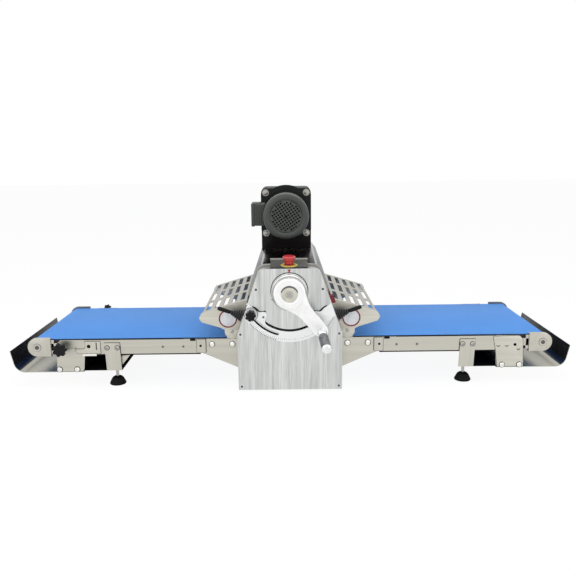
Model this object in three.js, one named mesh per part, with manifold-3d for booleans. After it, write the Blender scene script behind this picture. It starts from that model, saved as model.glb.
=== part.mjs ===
// A reversible dough sheeter that stands on a worktop.
// X runs along the tables, Y from the operator's side to the back, Z up from the worktop.
// All sizes are in millimetres. Depths are measured from the belts' front edge.

import * as THREE from 'three';
import { mergeVertices } from 'three/addons/utils/BufferGeometryUtils.js';
import Module from 'manifold-3d';

const wasm = await Module();
wasm.setup();

// Gaps, cuts and turned steps
const seatGap = 0.3;
const runningGap = 0.4;
const overrun = 20;
const roundSides = 32;
const smallSides = 20;
const halfTurnSteps = 14;
const degree = Math.PI / 180;

// Belts, their rollers and the slider beds
const beltWidth = 420;
const beltHeight = 163;
const beltThickness = 1.5;
const beltRollerRadius = 24;
const beltSideGap = 1;
const endAxleX = 830;
const innerAxleX = 70;
const endAxleRadius = 10;
const innerShaftRadius = 8;
const bedSheet = 2;
const bedFlangeDepth = 24;
const bedEndClearance = 8;
const bedSideInset = 6;
const crossBarSize = 22;
const crossBarDrop = 14;
const crossBarStep = 10;
const headBarX = 150;
const tableBarXs = [400, 560, 680];

// Side stack outside each belt edge: wall, arm, rail, leg plate
const wallThickness = 5;
const wallSideGap = 1;
const armThickness = 3;
const railThickness = 3;
const legSheet = 3;

// Table rails
const railInnerX = 280;
const railEndGap = 10;
const railTop = 160;
const railBottom = 113;
const railFlangeWidth = 8;
const hangerWidth = 84;
const hangerBottom = 55;
const hangerTop = 161;
const hangerTaper = 6;
const hangerLean = 5;
const hangerCorner = 12;
const adjusterSlotLength = 38;
const adjusterSlotWidth = 9;
const adjusterSlotInset = 47;

// Arms that carry the tables
const armInnerX = 120;
const armOuterX = 350;
const armTipX = 290;
const armRootBottom = 60;
const armRootX = 170;

// End yokes that hold the outer rollers
const yokeRadius = 31;
const yokeLength = 45;
const yokeThickness = 12;
const yokeNeckLength = 10;
const yokeNeckHeight = 46;
const tongueLength = 92;
const tongueThickness = 6;
const tongueHeight = 25;

// Catch trays
const traySheet = 2;
const trayBottom = 51;
const trayInset = 2;
const trayOutreach = 47;
const trayBendRadius = 38;
const trayLipHeight = 124;
const trayInnerWallTop = 94;
const trayLean = 12 * degree;
const trayBendSteps = 8;

// Leg frames and levelling feet
const legInnerX = 555;
const legOuterX = 605;
const legTop = 151;
const legBottom = 57;
const legTaper = 3;
const panEndGap = 4;
const panLipReach = 38;
const panLipHeight = 108;
const footInset = 18;
const footRadius = 27;
const footRimHeight = 5;
const footShoulderRadius = 18;
const footShoulderHeight = 27;
const footTopHeight = 35;
const footStudRadius = 5;
const footStudTop = 70;

// Tension knob on the left table
const tensionKnobInset = 18;
const tensionKnobRadius = 23;
const tensionKnobDepth = 26;
const tensionStemRadius = 9;
const tensionStemLength = 12;
const knobLobes = 7;
const knobLobeShare = 0.1;

// Head outline seen from the front
const headHalfWidth = 167;
const headShoulderHeight = 192;
const slantTopHalfWidth = 99;
const slantTopDrop = 14;
const headFlatHalfWidth = 59;
const headTopMargin = 14;
const headBottomHeight = 5;
const headRoundSteps = 6;

// Head casings, plates and cover
const casingInset = 1;
const casingSheet = 2.5;
const casingWeb = 3;
const casingBack = 12;
const frontPlateDepth = 72;
const frontPlateThickness = 4;
const rearCasingDepth = 120;
const rearPanelThickness = 3.5;
const webOpeningHalfWidth = 42;
const webOpeningBottom = 160;
const rearOpeningHalfWidth = 112;
const rearOpeningBottom = 92;
const spacerRadius = 9;
const spacerX = 90;
const spacerHeight = 60;
const topSpacerX = 48;
const topSpacerDrop = 42;
const coverOffset = 6;
const coverSheet = 2.5;
const coverSkirtRise = 17;

// Head frame
const frameFloorHeight = 14;
const frameFloorThickness = 6;
const frameFloorHalfWidth = 150;
const frameLegHalfWidth = 160;
const frameShelfHeight = 150;
const frameNeckBottom = 168;
const frameNeckHalfWidth = 76;
const frameCrownStep = 3;
const frameTieRadius = 8;
const frameTieX = 120;
const frameTieHeight = 60;
const topTieX = 46;
const topTieDrop = 52;
const padWidth = 40;
const padInset = 20;
const padHalfSpan = 140;

// Sheeting rollers, carriage and scrapers
const rollerRadius = 36;
const rollerGap = 25;
const rollerEndGap = 2;
const rollerShaftRadius = 12;
const shaftFrontReach = 9;
const carriageHalfWidth = 32;
const carriageThickness = 18;
const carriageBlockBelow = 28;
const beamHalfWidth = 12;
const beamClearance = 8;
const beamDepth = 16;
const carriageTravel = 24;
const scraperThickness = 3;
const scraperFootX = 30;
const scraperDrop = 18;
const scraperSideInset = 4;
const sprocketRadius = 36;
const sprocketSmallRadius = 24;
const sprocketThickness = 10;
const sprocketDepth = 462;
const smallSprocketDepth = 478;
const sprocketTeeth = 18;
const sprocketToothShare = 0.1;

// Gap lever, dial and gap shaft
const dialRise = 47;
const dialRadius = 57;
const dialThickness = 31.7;
const dialBevel = 5;
const hubRadius = 49;
const hubThickness = 22;
const hubRecessRadius = 27;
const hubRecessDepth = 5;
const leverRestAngle = 50 * degree;
const leverReach = 153;
const leverThickness = 12;
const leverFrontInset = 2;
const leverRootHalfWidth = 25;
const leverEndHalfWidth = 21;
const stubRadius = 10;
const stubLength = 12;
const stubSink = 6;
const gripRadius = 15;
const gripWaistRadius = 12.5;
const gripLength = 80;
const gripDomeLength = 8;
const gripLean = 22.7 * degree;
const gripSplay = 9.5 * degree;
const gapShaftRadius = 9;
const gapShaftEnd = 445;
const camRadius = 38;
const camThickness = 8;
const camOffset = 26.6;

// Index sector, stop and its knob
const sectorInnerRadius = 120;
const sectorOuterRadius = 165;
const sectorThickness = 4;
const sectorStart = 201 * degree;
const sectorEnd = 339 * degree;
const sectorSteps = 30;
const stopRadius = 142;
const stopAngle = 211 * degree;
const stopSlotStart = 208 * degree;
const stopSlotEnd = 254 * degree;
const stopSlotHalfWidth = 5.5;
const stopSlotSteps = 12;
const stopDiscRadius = 21;
const stopDiscThickness = 3;
const stopStudRadius = 4.5;
const stopStudReach = 14;
const stopKnobRadius = 17;
const stopKnobDepth = 27;
const plateSlotInnerRadius = 111;
const plateSlotOuterRadius = 117;
const plateSlotStart = 224 * degree;
const plateSlotEnd = 330 * degree;

// Control deck and stop button
const deckHalfWidth = 59;
const deckFront = -62;
const deckBack = 43;
const deckFrontRise = 4;
const deckBackRise = 7;
const buttonDepth = -42;
const buttonRadius = 20;
const buttonStemRadius = 10;
const buttonUnderHeight = 14;
const buttonTopHeight = 31;
const buttonCollarRadius = 14;
const buttonCollarHeight = 8;
const buttonStemStart = 5;
const buttonEdge = 3;

// Motor on its gear housing
const motorX = -8;
const motorRise = 137;
const flangeDepth = 285;
const flangeThickness = 18;
const flangeHalfWidth = 90;
const flangeHalfHeight = 85;
const flangeCorner = 22;
const flangeDiscRadius = 96;
const gearNeckHalfWidth = 58;
const motorRadius = 66;
const motorFinHeight = 6;
const motorFins = 20;
const motorFinShare = 0.4;
const motorFrontDepth = 150;
const motorBellRadius = 68;
const motorBellDepth = 170;
const motorShaftRadius = 7;
const gearHousingWall = 8;
const fanCoverRadius = 77;
const fanCoverFront = 112;
const fanCoverBack = 166;
const fanCoverSheet = 2.5;
const fanCoverEdge = 12;
const fanGrilleRadius = 55;
const fanGrilleRecess = 3;
const fanRadius = 64;
const fanHubRadius = 20;
const fanHubLength = 24;
const fanBladeThickness = 3;
const fanBlades = 8;
const fanFront = 122;
const boxPadHalfHeight = 32;
const boxHalfHeight = 40;
const boxReach = 48;
const boxFront = 182;
const boxBack = 262;
const boxPadInset = 8;
const boxPadDepth = 18;
const boxCorner = 6;

// Guards
const hingeX = 189;
const hingeHeight = 184;
const earRadius = 24;
const lugRadius = 17;
const hingePinRadius = 6;
const guardSheet = 2;
const guardSideGap = 1.3;
const panelInnerX = 135;
const panelInnerHeight = 292;
const panelOuterX = 286;
const panelOuterHeight = 247;
const cheekNoseX = 296;
const cheekNoseHeight = 230;
const cheekChinX = 288;
const cheekChinHeight = 216;
const cheekThroatX = 229;
const cheekThroatHeight = 198;
const slotColumns = 5;
const slotRows = 3;
const slotWidth = 14;
const slotEdge = 12;
const slotBridge = 32;
const slotEndMargin = 20;

// Reversing levers, their boots and the guard switch
const reverseHeight = 243;
const reverseDepth = -40;
const reverseRodRadius = 5;
const reverseRodStart = 6;
const reverseGripRadius = 6.5;
const reverseGripStart = 44;
const reverseLength = 86;
const bootRadius = 20;
const bootTipRadius = 9;
const bootLength = 42;
const bootRibs = 6;
const bootRibDepth = 2.2;
const bootBaseSlope = 0.11;
const switchHeight = 294;
const switchDepth = -32;
const switchWidth = 20;
const switchReach = 14;
const switchLength = 26;

// Places worked out from the sizes above
const beltAxis = beltHeight - beltThickness - beltRollerRadius;
const wallFront = -wallSideGap - wallThickness;
const armFront = wallFront - seatGap - armThickness;
const railFront = armFront - seatGap - railThickness;
const legFront = railFront - seatGap - legSheet;
const mirrored = (depth) => beltWidth - depth;
const upperRollerHeight = beltHeight + rollerGap + rollerRadius;
const lowerRollerHeight = beltHeight - rollerRadius;
const beamBottom = upperRollerHeight + rollerRadius + beamClearance;
const beamTop = beamBottom + beamDepth;
const scraperFootHeight = beamBottom - scraperDrop;
const dialHeight = beamTop + dialRise;
const carriageTop = dialHeight + camOffset - camRadius - seatGap;
const webOpeningTop = carriageTop + 4 * seatGap;
const headTopHeight = dialHeight + dialRadius + headTopMargin;
const slantTopHeight = headTopHeight - slantTopDrop;
const coverSkirtHeight = beamTop + coverSkirtRise;
const frameCrownHeight = coverSkirtHeight + frameCrownStep;
const spacerPlaces = [[spacerX, spacerHeight], [topSpacerX, headTopHeight - topSpacerDrop]];
const frameTiePlaces = [[topTieX, headTopHeight - topTieDrop], [frameTieX, frameTieHeight]];
const deckFrontHeight = headTopHeight + deckFrontRise;
const deckBackHeight = headTopHeight + coverOffset + deckBackRise;
const motorHeight = headTopHeight + coverOffset + motorRise;
const railOuterX = endAxleX - yokeLength - yokeNeckLength - railEndGap;
const hangerInnerX = railOuterX - hangerWidth;
const trayInnerX = hangerInnerX + trayInset;
const trayFlatEndX = endAxleX + trayOutreach;
const panOuterX = trayInnerX - panEndGap;
const casingFront = -frontPlateDepth + frontPlateThickness + seatGap;
const rearCasingFront = beltWidth + casingBack;
const rearCasingBack = rearCasingFront + rearCasingDepth;
const carriageFront = wallFront - seatGap - carriageThickness;
const frameOffset = coverOffset - coverSheet - seatGap;
const guardFront = wallFront - guardSideGap - guardSheet;

// Materials
const paint = (color, roughness, metalness) => new THREE.MeshStandardMaterial({ color, roughness, metalness });
const steel = paint(0xc4c1b4, 0.38, 0.85);
const brushedSteel = paint(0xcfd0ce, 0.34, 0.9);
const castMetal = paint(0xe6e6e4, 0.4, 0.6);
const chrome = paint(0xe4e6e8, 0.12, 1);
const beltBlue = paint(0x3f86e6, 0.6, 0);
const bootBlack = paint(0x151515, 0.8, 0);
const blackPlastic = paint(0x1b1b1c, 0.5, 0);
const motorGrey = paint(0x3d403e, 0.55, 0.3);
const darkMetal = paint(0x2a2b2c, 0.5, 0.5);
const red = paint(0xc31f26, 0.4, 0);
const deckGrey = paint(0x74767a, 0.45, 0.4);

// Solids and joins

function solidOf(geometry) {
  const bare = geometry.clone();
  bare.deleteAttribute('normal');
  bare.deleteAttribute('uv');
  const merged = mergeVertices(bare);
  const vertProperties = Float32Array.from(merged.attributes.position.array);
  const triVerts = Uint32Array.from(merged.index.array);
  return new wasm.Manifold(new wasm.Mesh({ numProp: 3, vertProperties, triVerts }));
}

const joined = (first, ...others) => others.reduce((sum, other) => sum.add(other), first);
const cutBy = (first, ...others) => others.reduce((rest, other) => rest.subtract(other), first);

function geometryOf(solid) {
  const mesh = solid.getMesh();
  const geometry = new THREE.BufferGeometry();
  geometry.setAttribute('position', new THREE.BufferAttribute(Float32Array.from(mesh.vertProperties), 3));
  geometry.setIndex(new THREE.BufferAttribute(Uint32Array.from(mesh.triVerts), 1));
  geometry.computeVertexNormals();
  return geometry;
}

function named(name, material, solid) {
  const mesh = new THREE.Mesh(geometryOf(solid), material);
  mesh.name = name;
  return mesh;
}

function extruded(outline, depth) {
  const shape = new THREE.Shape(outline.map(([a, b]) => new THREE.Vector2(a, b)));
  return new THREE.ExtrudeGeometry(shape, { depth, bevelEnabled: false });
}

function sweptY(outline, near, far) {
  const geometry = extruded(outline, far - near);
  geometry.rotateX(Math.PI / 2);
  geometry.translate(0, far, 0);
  return solidOf(geometry);
}

// An outline in X and Z with its holes, swept in Y between two depths
function frontSolid(outline, holes, near, far) {
  const cutters = holes.map((hole) => sweptY(hole, near - overrun, far + overrun));
  return cutBy(sweptY(outline, near, far), ...cutters);
}

// An outline in Y and Z, swept in X between two sides
function sideSolid(outline, left, right) {
  const geometry = extruded(outline, right - left);
  const upright = new THREE.Matrix4().makeBasis(
    new THREE.Vector3(0, 1, 0),
    new THREE.Vector3(0, 0, 1),
    new THREE.Vector3(1, 0, 0),
  );
  geometry.applyMatrix4(upright);
  geometry.translate(left, 0, 0);
  return solidOf(geometry);
}

function block(left, right, near, far, bottom, top) {
  const geometry = new THREE.BoxGeometry(right - left, far - near, top - bottom);
  geometry.translate((left + right) / 2, (near + far) / 2, (bottom + top) / 2);
  return solidOf(geometry);
}

// A round bar along Y
function barY(x, z, radius, near, far, sides = roundSides) {
  const geometry = new THREE.CylinderGeometry(radius, radius, far - near, sides);
  geometry.translate(x, (near + far) / 2, z);
  return solidOf(geometry);
}

// A turned piece: a profile of radius and height, about the Z axis
function turned(profile, sides = roundSides) {
  const geometry = new THREE.LatheGeometry(profile.map(([radius, z]) => new THREE.Vector2(radius, z)), sides);
  geometry.rotateX(Math.PI / 2);
  return solidOf(geometry);
}

function turnedTo(solid, turn) {
  const matrix = new THREE.Matrix4().makeRotationFromEuler(turn);
  return solid.transform(matrix.elements);
}

function circle(x, z, radius, sides = smallSides) {
  return Array.from({ length: sides }, (_, step) => {
    const angle = (2 * Math.PI * step) / sides;
    return [x + radius * Math.cos(angle), z + radius * Math.sin(angle)];
  });
}

function arc(x, z, radius, from, to, steps) {
  return Array.from({ length: steps + 1 }, (_, step) => {
    const angle = from + ((to - from) * step) / steps;
    return [x + radius * Math.cos(angle), z + radius * Math.sin(angle)];
  });
}

function rectangle(left, right, bottom, top) {
  return [[left, bottom], [right, bottom], [right, top], [left, top]];
}

function roundedRectangle(halfWidth, halfHeight, corner) {
  const inX = halfWidth - corner;
  const inZ = halfHeight - corner;
  const quarter = Math.PI / 2;
  const signs = [[1, 1], [-1, 1], [-1, -1], [1, -1]];
  return signs.flatMap(([a, b], index) => arc(a * inX, b * inZ, corner, quarter * index, quarter * (index + 1), 4));
}

// An arc-shaped slot about the dial, with round ends
function dialSlot(radius, halfWidth, from, to, steps) {
  const half = Math.PI;
  const at = (angle) => [radius * Math.cos(angle), dialHeight + radius * Math.sin(angle)];
  const start = at(from);
  const end = at(to);
  return [
    ...arc(0, dialHeight, radius + halfWidth, from, to, steps),
    ...arc(end[0], end[1], halfWidth, to, to + half, 6).slice(1, -1),
    ...arc(0, dialHeight, radius - halfWidth, to, from, steps),
    ...arc(start[0], start[1], halfWidth, from + half, from + 2 * half, 6).slice(1, -1),
  ];
}

const flipped = (outline, side) => outline.map(([x, z]) => [side * x, z]);

function star(radius, lobes, share) {
  const points = lobes * 8;
  return Array.from({ length: points }, (_, step) => {
    const angle = (2 * Math.PI * step) / points;
    const reach = radius * (1 - share + share * Math.cos(lobes * angle));
    return [reach * Math.cos(angle), reach * Math.sin(angle)];
  });
}

// Head outline, grown or shrunk by an offset, from a start height up and over the top

function headSide(offset, startHeight) {
  const rise = slantTopHeight - headShoulderHeight;
  const run = headHalfWidth - slantTopHalfWidth;
  const length = Math.hypot(rise, run);
  const along = [-run / length, rise / length];
  const outward = [rise / length, run / length];
  const onSlant = (z) => {
    const baseX = headHalfWidth + outward[0] * offset;
    const baseZ = headShoulderHeight + outward[1] * offset;
    return baseX - ((z - baseZ) * run) / rise;
  };
  const top = headTopHeight + offset;
  const corner = [onSlant(top), top];
  const plainCornerX = headHalfWidth - ((headTopHeight - headShoulderHeight) * run) / rise;
  const backSlant = Math.hypot(slantTopHalfWidth - plainCornerX, headTopHeight - slantTopHeight);
  const backFlat = plainCornerX - headFlatHalfWidth;
  const curve = new THREE.QuadraticBezierCurve(
    new THREE.Vector2(corner[0] - along[0] * backSlant, corner[1] - along[1] * backSlant),
    new THREE.Vector2(corner[0], corner[1]),
    new THREE.Vector2(corner[0] - backFlat, corner[1]),
  );
  const rounding = curve.getPoints(headRoundSteps).map((point) => [point.x, point.y]);
  const sideX = headHalfWidth + offset;
  const shoulderZ = headShoulderHeight + outward[1] * offset + ((outward[0] * offset - offset) * rise) / run;
  if (startHeight > shoulderZ) {
    return [[onSlant(startHeight), startHeight], ...rounding];
  }
  return [[sideX, startHeight], [sideX, shoulderZ], ...rounding];
}

function headOutline(offset, startHeight) {
  const side = headSide(offset, startHeight);
  return [...side, ...flipped(side, -1).reverse()];
}

function slantX(height) {
  const share = (height - headShoulderHeight) / (slantTopHeight - headShoulderHeight);
  return headHalfWidth - casingInset - share * (headHalfWidth - slantTopHalfWidth);
}

const slantLean = Math.atan2(headHalfWidth - slantTopHalfWidth, slantTopHeight - headShoulderHeight);

// Head frame: two walls joined by a floor and ties

function wallOutline() {
  const crown = headSide(frameOffset, frameCrownHeight);
  const right = [
    [frameLegHalfWidth, frameFloorHeight],
    [frameLegHalfWidth, frameShelfHeight],
    [hingeX + lugRadius, frameShelfHeight],
    ...arc(hingeX, hingeHeight, lugRadius, 0, Math.PI, 10),
    [hingeX - lugRadius, frameNeckBottom],
    [frameNeckHalfWidth, frameNeckBottom],
    [frameNeckHalfWidth, frameCrownHeight],
    ...crown,
  ];
  return [...right, ...flipped(right, -1).reverse()];
}

function wallHoles() {
  const slotHalfWidth = rollerShaftRadius + 2 * seatGap;
  const slotBottom = upperRollerHeight - rollerShaftRadius - carriageTravel - seatGap * 2;
  return [
    rectangle(-slotHalfWidth, slotHalfWidth, slotBottom, beamTop + 2 * seatGap),
    circle(0, lowerRollerHeight, rollerShaftRadius + runningGap),
    circle(innerAxleX, beltAxis, innerShaftRadius + runningGap),
    circle(-innerAxleX, beltAxis, innerShaftRadius + runningGap),
    circle(hingeX, hingeHeight, hingePinRadius + runningGap),
    circle(-hingeX, hingeHeight, hingePinRadius + runningGap),
    circle(0, dialHeight, gapShaftRadius + runningGap),
  ];
}

function headFrame() {
  const wall = (near) => frontSolid(wallOutline(), wallHoles(), near, near + wallThickness);
  const farWall = beltWidth + wallSideGap;
  const floor = block(-frameFloorHalfWidth, frameFloorHalfWidth, wallFront, mirrored(wallFront),
    frameFloorHeight, frameFloorHeight + frameFloorThickness);
  const ties = frameTiePlaces.flatMap(([x, z]) => [-1, 1].map((side) => (
    barY(side * x, z, frameTieRadius, wallFront + wallThickness / 2, farWall + wallThickness / 2, smallSides)
  )));
  return named('head_frame', steel, joined(wall(wallFront), wall(farWall), floor, ...ties));
}

function headPad() {
  const top = frameFloorHeight - seatGap;
  const outer = rectangle(-padHalfSpan, padHalfSpan, padInset, beltWidth - padInset);
  const inner = block(padWidth - padHalfSpan, padHalfSpan - padWidth, padInset + padWidth,
    beltWidth - padInset - padWidth, -overrun, top + overrun);
  return named('head_pad', bootBlack, cutBy(solidOf(extruded(outer, top)), inner));
}

// Casings, plates and cover of the head

function casing(near, far, pocketNear, pocketFar, opening) {
  const outer = headOutline(-casingInset, headBottomHeight + casingInset);
  const inner = headOutline(-casingInset - casingSheet, headBottomHeight + casingInset + casingSheet);
  const shaftHole = circle(0, dialHeight, gapShaftRadius + runningGap);
  return cutBy(frontSolid(outer, [opening, shaftHole], near, far), frontSolid(inner, [], pocketNear, pocketFar));
}

function frontCasing() {
  const opening = rectangle(-webOpeningHalfWidth, webOpeningHalfWidth, webOpeningBottom, webOpeningTop);
  const shell = casing(casingFront, -casingBack, casingFront - overrun, -casingBack - casingWeb, opening);
  const spacers = spacerPlaces.flatMap(([x, z]) => [-1, 1].map((side) => (
    barY(side * x, z, spacerRadius, -casingBack - casingWeb / 2, wallFront - seatGap, smallSides)
  )));
  return named('front_casing', steel, joined(shell, ...spacers));
}

function rearCasing() {
  const opening = rectangle(-rearOpeningHalfWidth, rearOpeningHalfWidth, rearOpeningBottom, webOpeningTop);
  const pocketNear = rearCasingFront + casingWeb;
  const shell = casing(rearCasingFront, rearCasingBack, pocketNear, rearCasingBack + overrun, opening);
  const spacers = spacerPlaces.flatMap(([x, z]) => [-1, 1].map((side) => (
    barY(side * x, z, spacerRadius, mirrored(wallFront) + seatGap, rearCasingFront + casingWeb / 2, smallSides)
  )));
  return named('rear_casing', steel, joined(shell, ...spacers));
}

function frontPlate() {
  const slotMiddle = (plateSlotInnerRadius + plateSlotOuterRadius) / 2;
  const slotHalf = (plateSlotOuterRadius - plateSlotInnerRadius) / 2;
  const holes = [
    dialSlot(slotMiddle, slotHalf, plateSlotStart, plateSlotEnd, sectorSteps),
    circle(0, dialHeight, gapShaftRadius + runningGap),
  ];
  const plate = frontSolid(headOutline(0, headBottomHeight), holes, -frontPlateDepth,
    -frontPlateDepth + frontPlateThickness);
  return named('front_plate', brushedSteel, plate);
}

function rearPanel() {
  const near = rearCasingBack + seatGap;
  return named('rear_panel', brushedSteel, frontSolid(headOutline(0, headBottomHeight), [], near,
    near + rearPanelThickness));
}

function topCover() {
  const outer = headOutline(coverOffset, coverSkirtHeight);
  const inner = headOutline(coverOffset - coverSheet, coverSkirtHeight);
  const outline = [...outer, ...inner.reverse()];
  const cover = frontSolid(outline, [], seatGap - casingBack, rearCasingFront - seatGap);
  return named('top_cover', steel, cover);
}

// Rollers, carriage and scrapers

function sprocketOutline(x, z, radius) {
  const points = sprocketTeeth * 4;
  return Array.from({ length: points }, (_, step) => {
    const angle = (2 * Math.PI * step) / points;
    const tooth = step % 4 < 2 ? 1 : 1 - sprocketToothShare;
    return [x + radius * tooth * Math.cos(angle), z + radius * tooth * Math.sin(angle)];
  });
}

function upperRoller() {
  const drum = barY(0, 0, rollerRadius, rollerEndGap, beltWidth - rollerEndGap);
  const shaft = barY(0, 0, rollerShaftRadius, carriageFront, mirrored(carriageFront), smallSides);
  const roller = named('upper_roller', chrome, joined(drum, shaft));
  roller.position.z = upperRollerHeight;
  return roller;
}

function lowerRoller() {
  const drum = barY(0, 0, rollerRadius, rollerEndGap, beltWidth - rollerEndGap);
  const sprocketEnd = sprocketDepth + sprocketThickness;
  const shaft = barY(0, 0, rollerShaftRadius, -shaftFrontReach, sprocketEnd, smallSides);
  const sprocket = frontSolid(sprocketOutline(0, 0, sprocketRadius), [], sprocketDepth, sprocketEnd);
  const roller = named('lower_roller', chrome, joined(drum, shaft, sprocket));
  roller.position.z = lowerRollerHeight;
  return roller;
}

function innerRoller(name, side) {
  const drum = barY(0, 0, beltRollerRadius, beltSideGap, beltWidth - beltSideGap);
  const sprocketEnd = smallSprocketDepth + sprocketThickness;
  const shaft = barY(0, 0, innerShaftRadius, -shaftFrontReach, sprocketEnd, smallSides);
  const sprocket = frontSolid(sprocketOutline(0, 0, sprocketSmallRadius), [], smallSprocketDepth, sprocketEnd);
  const roller = named(name, brushedSteel, joined(drum, shaft, sprocket));
  roller.position.set(side * innerAxleX, 0, beltAxis);
  return roller;
}

function rollerCarriage() {
  const bottom = upperRollerHeight - carriageBlockBelow;
  const hole = circle(0, upperRollerHeight, rollerShaftRadius + runningGap);
  const blockOutline = rectangle(-carriageHalfWidth, carriageHalfWidth, bottom, carriageTop);
  const nearBlock = frontSolid(blockOutline, [hole], carriageFront, carriageFront + carriageThickness);
  const farFront = mirrored(carriageFront) - carriageThickness;
  const farBlock = frontSolid(blockOutline, [hole], farFront, mirrored(carriageFront));
  const beam = block(-beamHalfWidth, beamHalfWidth, carriageFront + carriageThickness / 2,
    farFront + carriageThickness / 2, beamBottom, beamTop);
  return named('roller_carriage', steel, joined(nearBlock, farBlock, beam));
}

function scraper(name, side) {
  const innerX = beamHalfWidth + seatGap;
  const outline = [
    [innerX, beamTop],
    [innerX, beamBottom],
    [scraperFootX - scraperThickness, scraperFootHeight],
    [scraperFootX, scraperFootHeight],
    [innerX + scraperThickness, beamBottom + scraperThickness],
    [innerX + scraperThickness, beamTop],
  ];
  return named(name, steel, frontSolid(flipped(outline, side), [], scraperSideInset, beltWidth - scraperSideInset));
}

// Gap lever with its dial, shaft and grip

function gapDial() {
  const bore = gapShaftRadius + runningGap;
  const dial = turned([
    [bore, 0],
    [dialRadius, 0],
    [dialRadius, dialThickness - dialBevel],
    [dialRadius - dialBevel, dialThickness],
    [bore, dialThickness],
    [bore, 0],
  ]);
  const mesh = named('gap_dial', castMetal, dial);
  mesh.position.set(0, -frontPlateDepth - seatGap, dialHeight);
  mesh.rotation.x = Math.PI / 2;
  return mesh;
}

const hubBack = -frontPlateDepth - seatGap - dialThickness - seatGap;
const hubFront = hubBack - hubThickness;
const gripTurn = new THREE.Euler(gripSplay, 0, gripLean);

function armOutline() {
  return [
    [0, -leverRootHalfWidth],
    ...arc(leverReach, 0, leverEndHalfWidth, -Math.PI / 2, Math.PI / 2, 10),
    [0, leverRootHalfWidth],
  ];
}

function gapLever() {
  const armNear = hubFront + leverFrontInset;
  const hub = barY(0, 0, hubRadius, hubFront, hubBack);
  const arm = frontSolid(armOutline(), [], armNear, armNear + leverThickness);
  const stub = turnedTo(barY(0, 0, stubRadius, -stubLength, stubSink, smallSides), gripTurn)
    .translate([leverReach, armNear, 0]);
  const recess = barY(0, 0, hubRecessRadius, hubFront - overrun, hubFront + hubRecessDepth);
  const bore = barY(0, 0, gapShaftRadius + seatGap, hubFront + hubRecessDepth / 2, hubBack + overrun, smallSides);
  return named('gap_lever', castMetal, cutBy(joined(hub, arm, stub), recess, bore));
}

function leverGrip() {
  const end = stubLength + seatGap + gripLength;
  const grip = turned([
    [0, stubLength + seatGap],
    [gripRadius, stubLength + seatGap],
    [gripWaistRadius, (stubLength + end) / 2],
    [gripRadius, end - gripDomeLength],
    [gripRadius / 2, end],
    [0, end],
  ], smallSides);
  return grip.rotate([90, 0, 0]);
}

function gapShaft() {
  const shaft = barY(0, 0, gapShaftRadius, hubFront + hubRecessDepth, gapShaftEnd, smallSides);
  const camX = -camOffset * Math.sin(leverRestAngle);
  const camZ = camOffset * Math.cos(leverRestAngle);
  const cam = (near) => barY(camX, camZ, camRadius, near, near + camThickness);
  const nearCam = cam(carriageFront);
  const farCam = cam(mirrored(carriageFront) - camThickness);
  return named('gap_shaft', chrome, joined(shaft, nearCam, farCam));
}

function leverGroup() {
  const group = new THREE.Group();
  group.position.z = dialHeight;
  group.rotation.y = leverRestAngle;
  const grip = named('lever_grip', chrome, leverGrip());
  grip.position.set(leverReach, hubFront + leverFrontInset, 0);
  grip.rotation.copy(gripTurn);
  group.add(gapLever(), gapShaft(), grip);
  return group;
}

// Index sector with its stop

function indexSector() {
  const outline = [
    ...arc(0, dialHeight, sectorOuterRadius, sectorStart, sectorEnd, sectorSteps),
    ...arc(0, dialHeight, sectorInnerRadius, sectorEnd, sectorStart, sectorSteps),
  ];
  const slot = dialSlot(stopRadius, stopSlotHalfWidth, stopSlotStart, stopSlotEnd, stopSlotSteps);
  const far = -frontPlateDepth - seatGap;
  return named('index_sector', castMetal, frontSolid(outline, [slot], far - sectorThickness, far));
}

function stopGroup() {
  const group = new THREE.Group();
  const discFar = -frontPlateDepth - seatGap - sectorThickness - seatGap;
  const discNear = discFar - stopDiscThickness;
  group.position.set(stopRadius * Math.cos(stopAngle), 0, dialHeight + stopRadius * Math.sin(stopAngle));
  const carrier = joined(
    barY(0, 0, stopDiscRadius, discNear, discFar),
    barY(0, 0, stopStudRadius, discNear - stopStudReach, -frontPlateDepth - seatGap, smallSides),
  );
  const knobFar = discNear - seatGap;
  const knob = cutBy(
    frontSolid(star(stopKnobRadius, knobLobes, knobLobeShare), [], knobFar - stopKnobDepth, knobFar),
    barY(0, 0, stopStudRadius + seatGap, discNear - stopStudReach - seatGap, knobFar + overrun, smallSides),
  );
  group.add(named('stop_carrier', castMetal, carrier), named('stop_knob', blackPlastic, knob));
  return group;
}

// Control deck with the stop button

const deckSlope = Math.atan2(deckBackHeight - deckFrontHeight, deckBack - deckFront);

function deckHeightAt(depth) {
  return deckFrontHeight + (depth - deckFront) * Math.tan(deckSlope);
}

function controlDeck() {
  const casingTop = headTopHeight - casingInset + seatGap;
  const coverTop = headTopHeight + coverOffset + seatGap;
  const coverNear = -casingBack;
  const outline = [
    [deckFront, casingTop],
    [coverNear, casingTop],
    [coverNear, coverTop],
    [deckBack, coverTop],
    [deckBack, deckBackHeight],
    [deckFront, deckFrontHeight],
  ];
  const ring = turned([
    [buttonStemRadius + runningGap, -1 * seatGap],
    [buttonCollarRadius, -1 * seatGap],
    [buttonCollarRadius, buttonCollarHeight],
    [buttonStemRadius + runningGap, buttonCollarHeight],
    [buttonStemRadius + runningGap, -1 * seatGap],
  ]);
  const collar = turnedTo(ring, new THREE.Euler(deckSlope, 0, 0))
    .translate([0, buttonDepth, deckHeightAt(buttonDepth)]);
  return named('control_deck', deckGrey, joined(sideSolid(outline, -deckHalfWidth, deckHalfWidth), collar));
}

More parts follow.
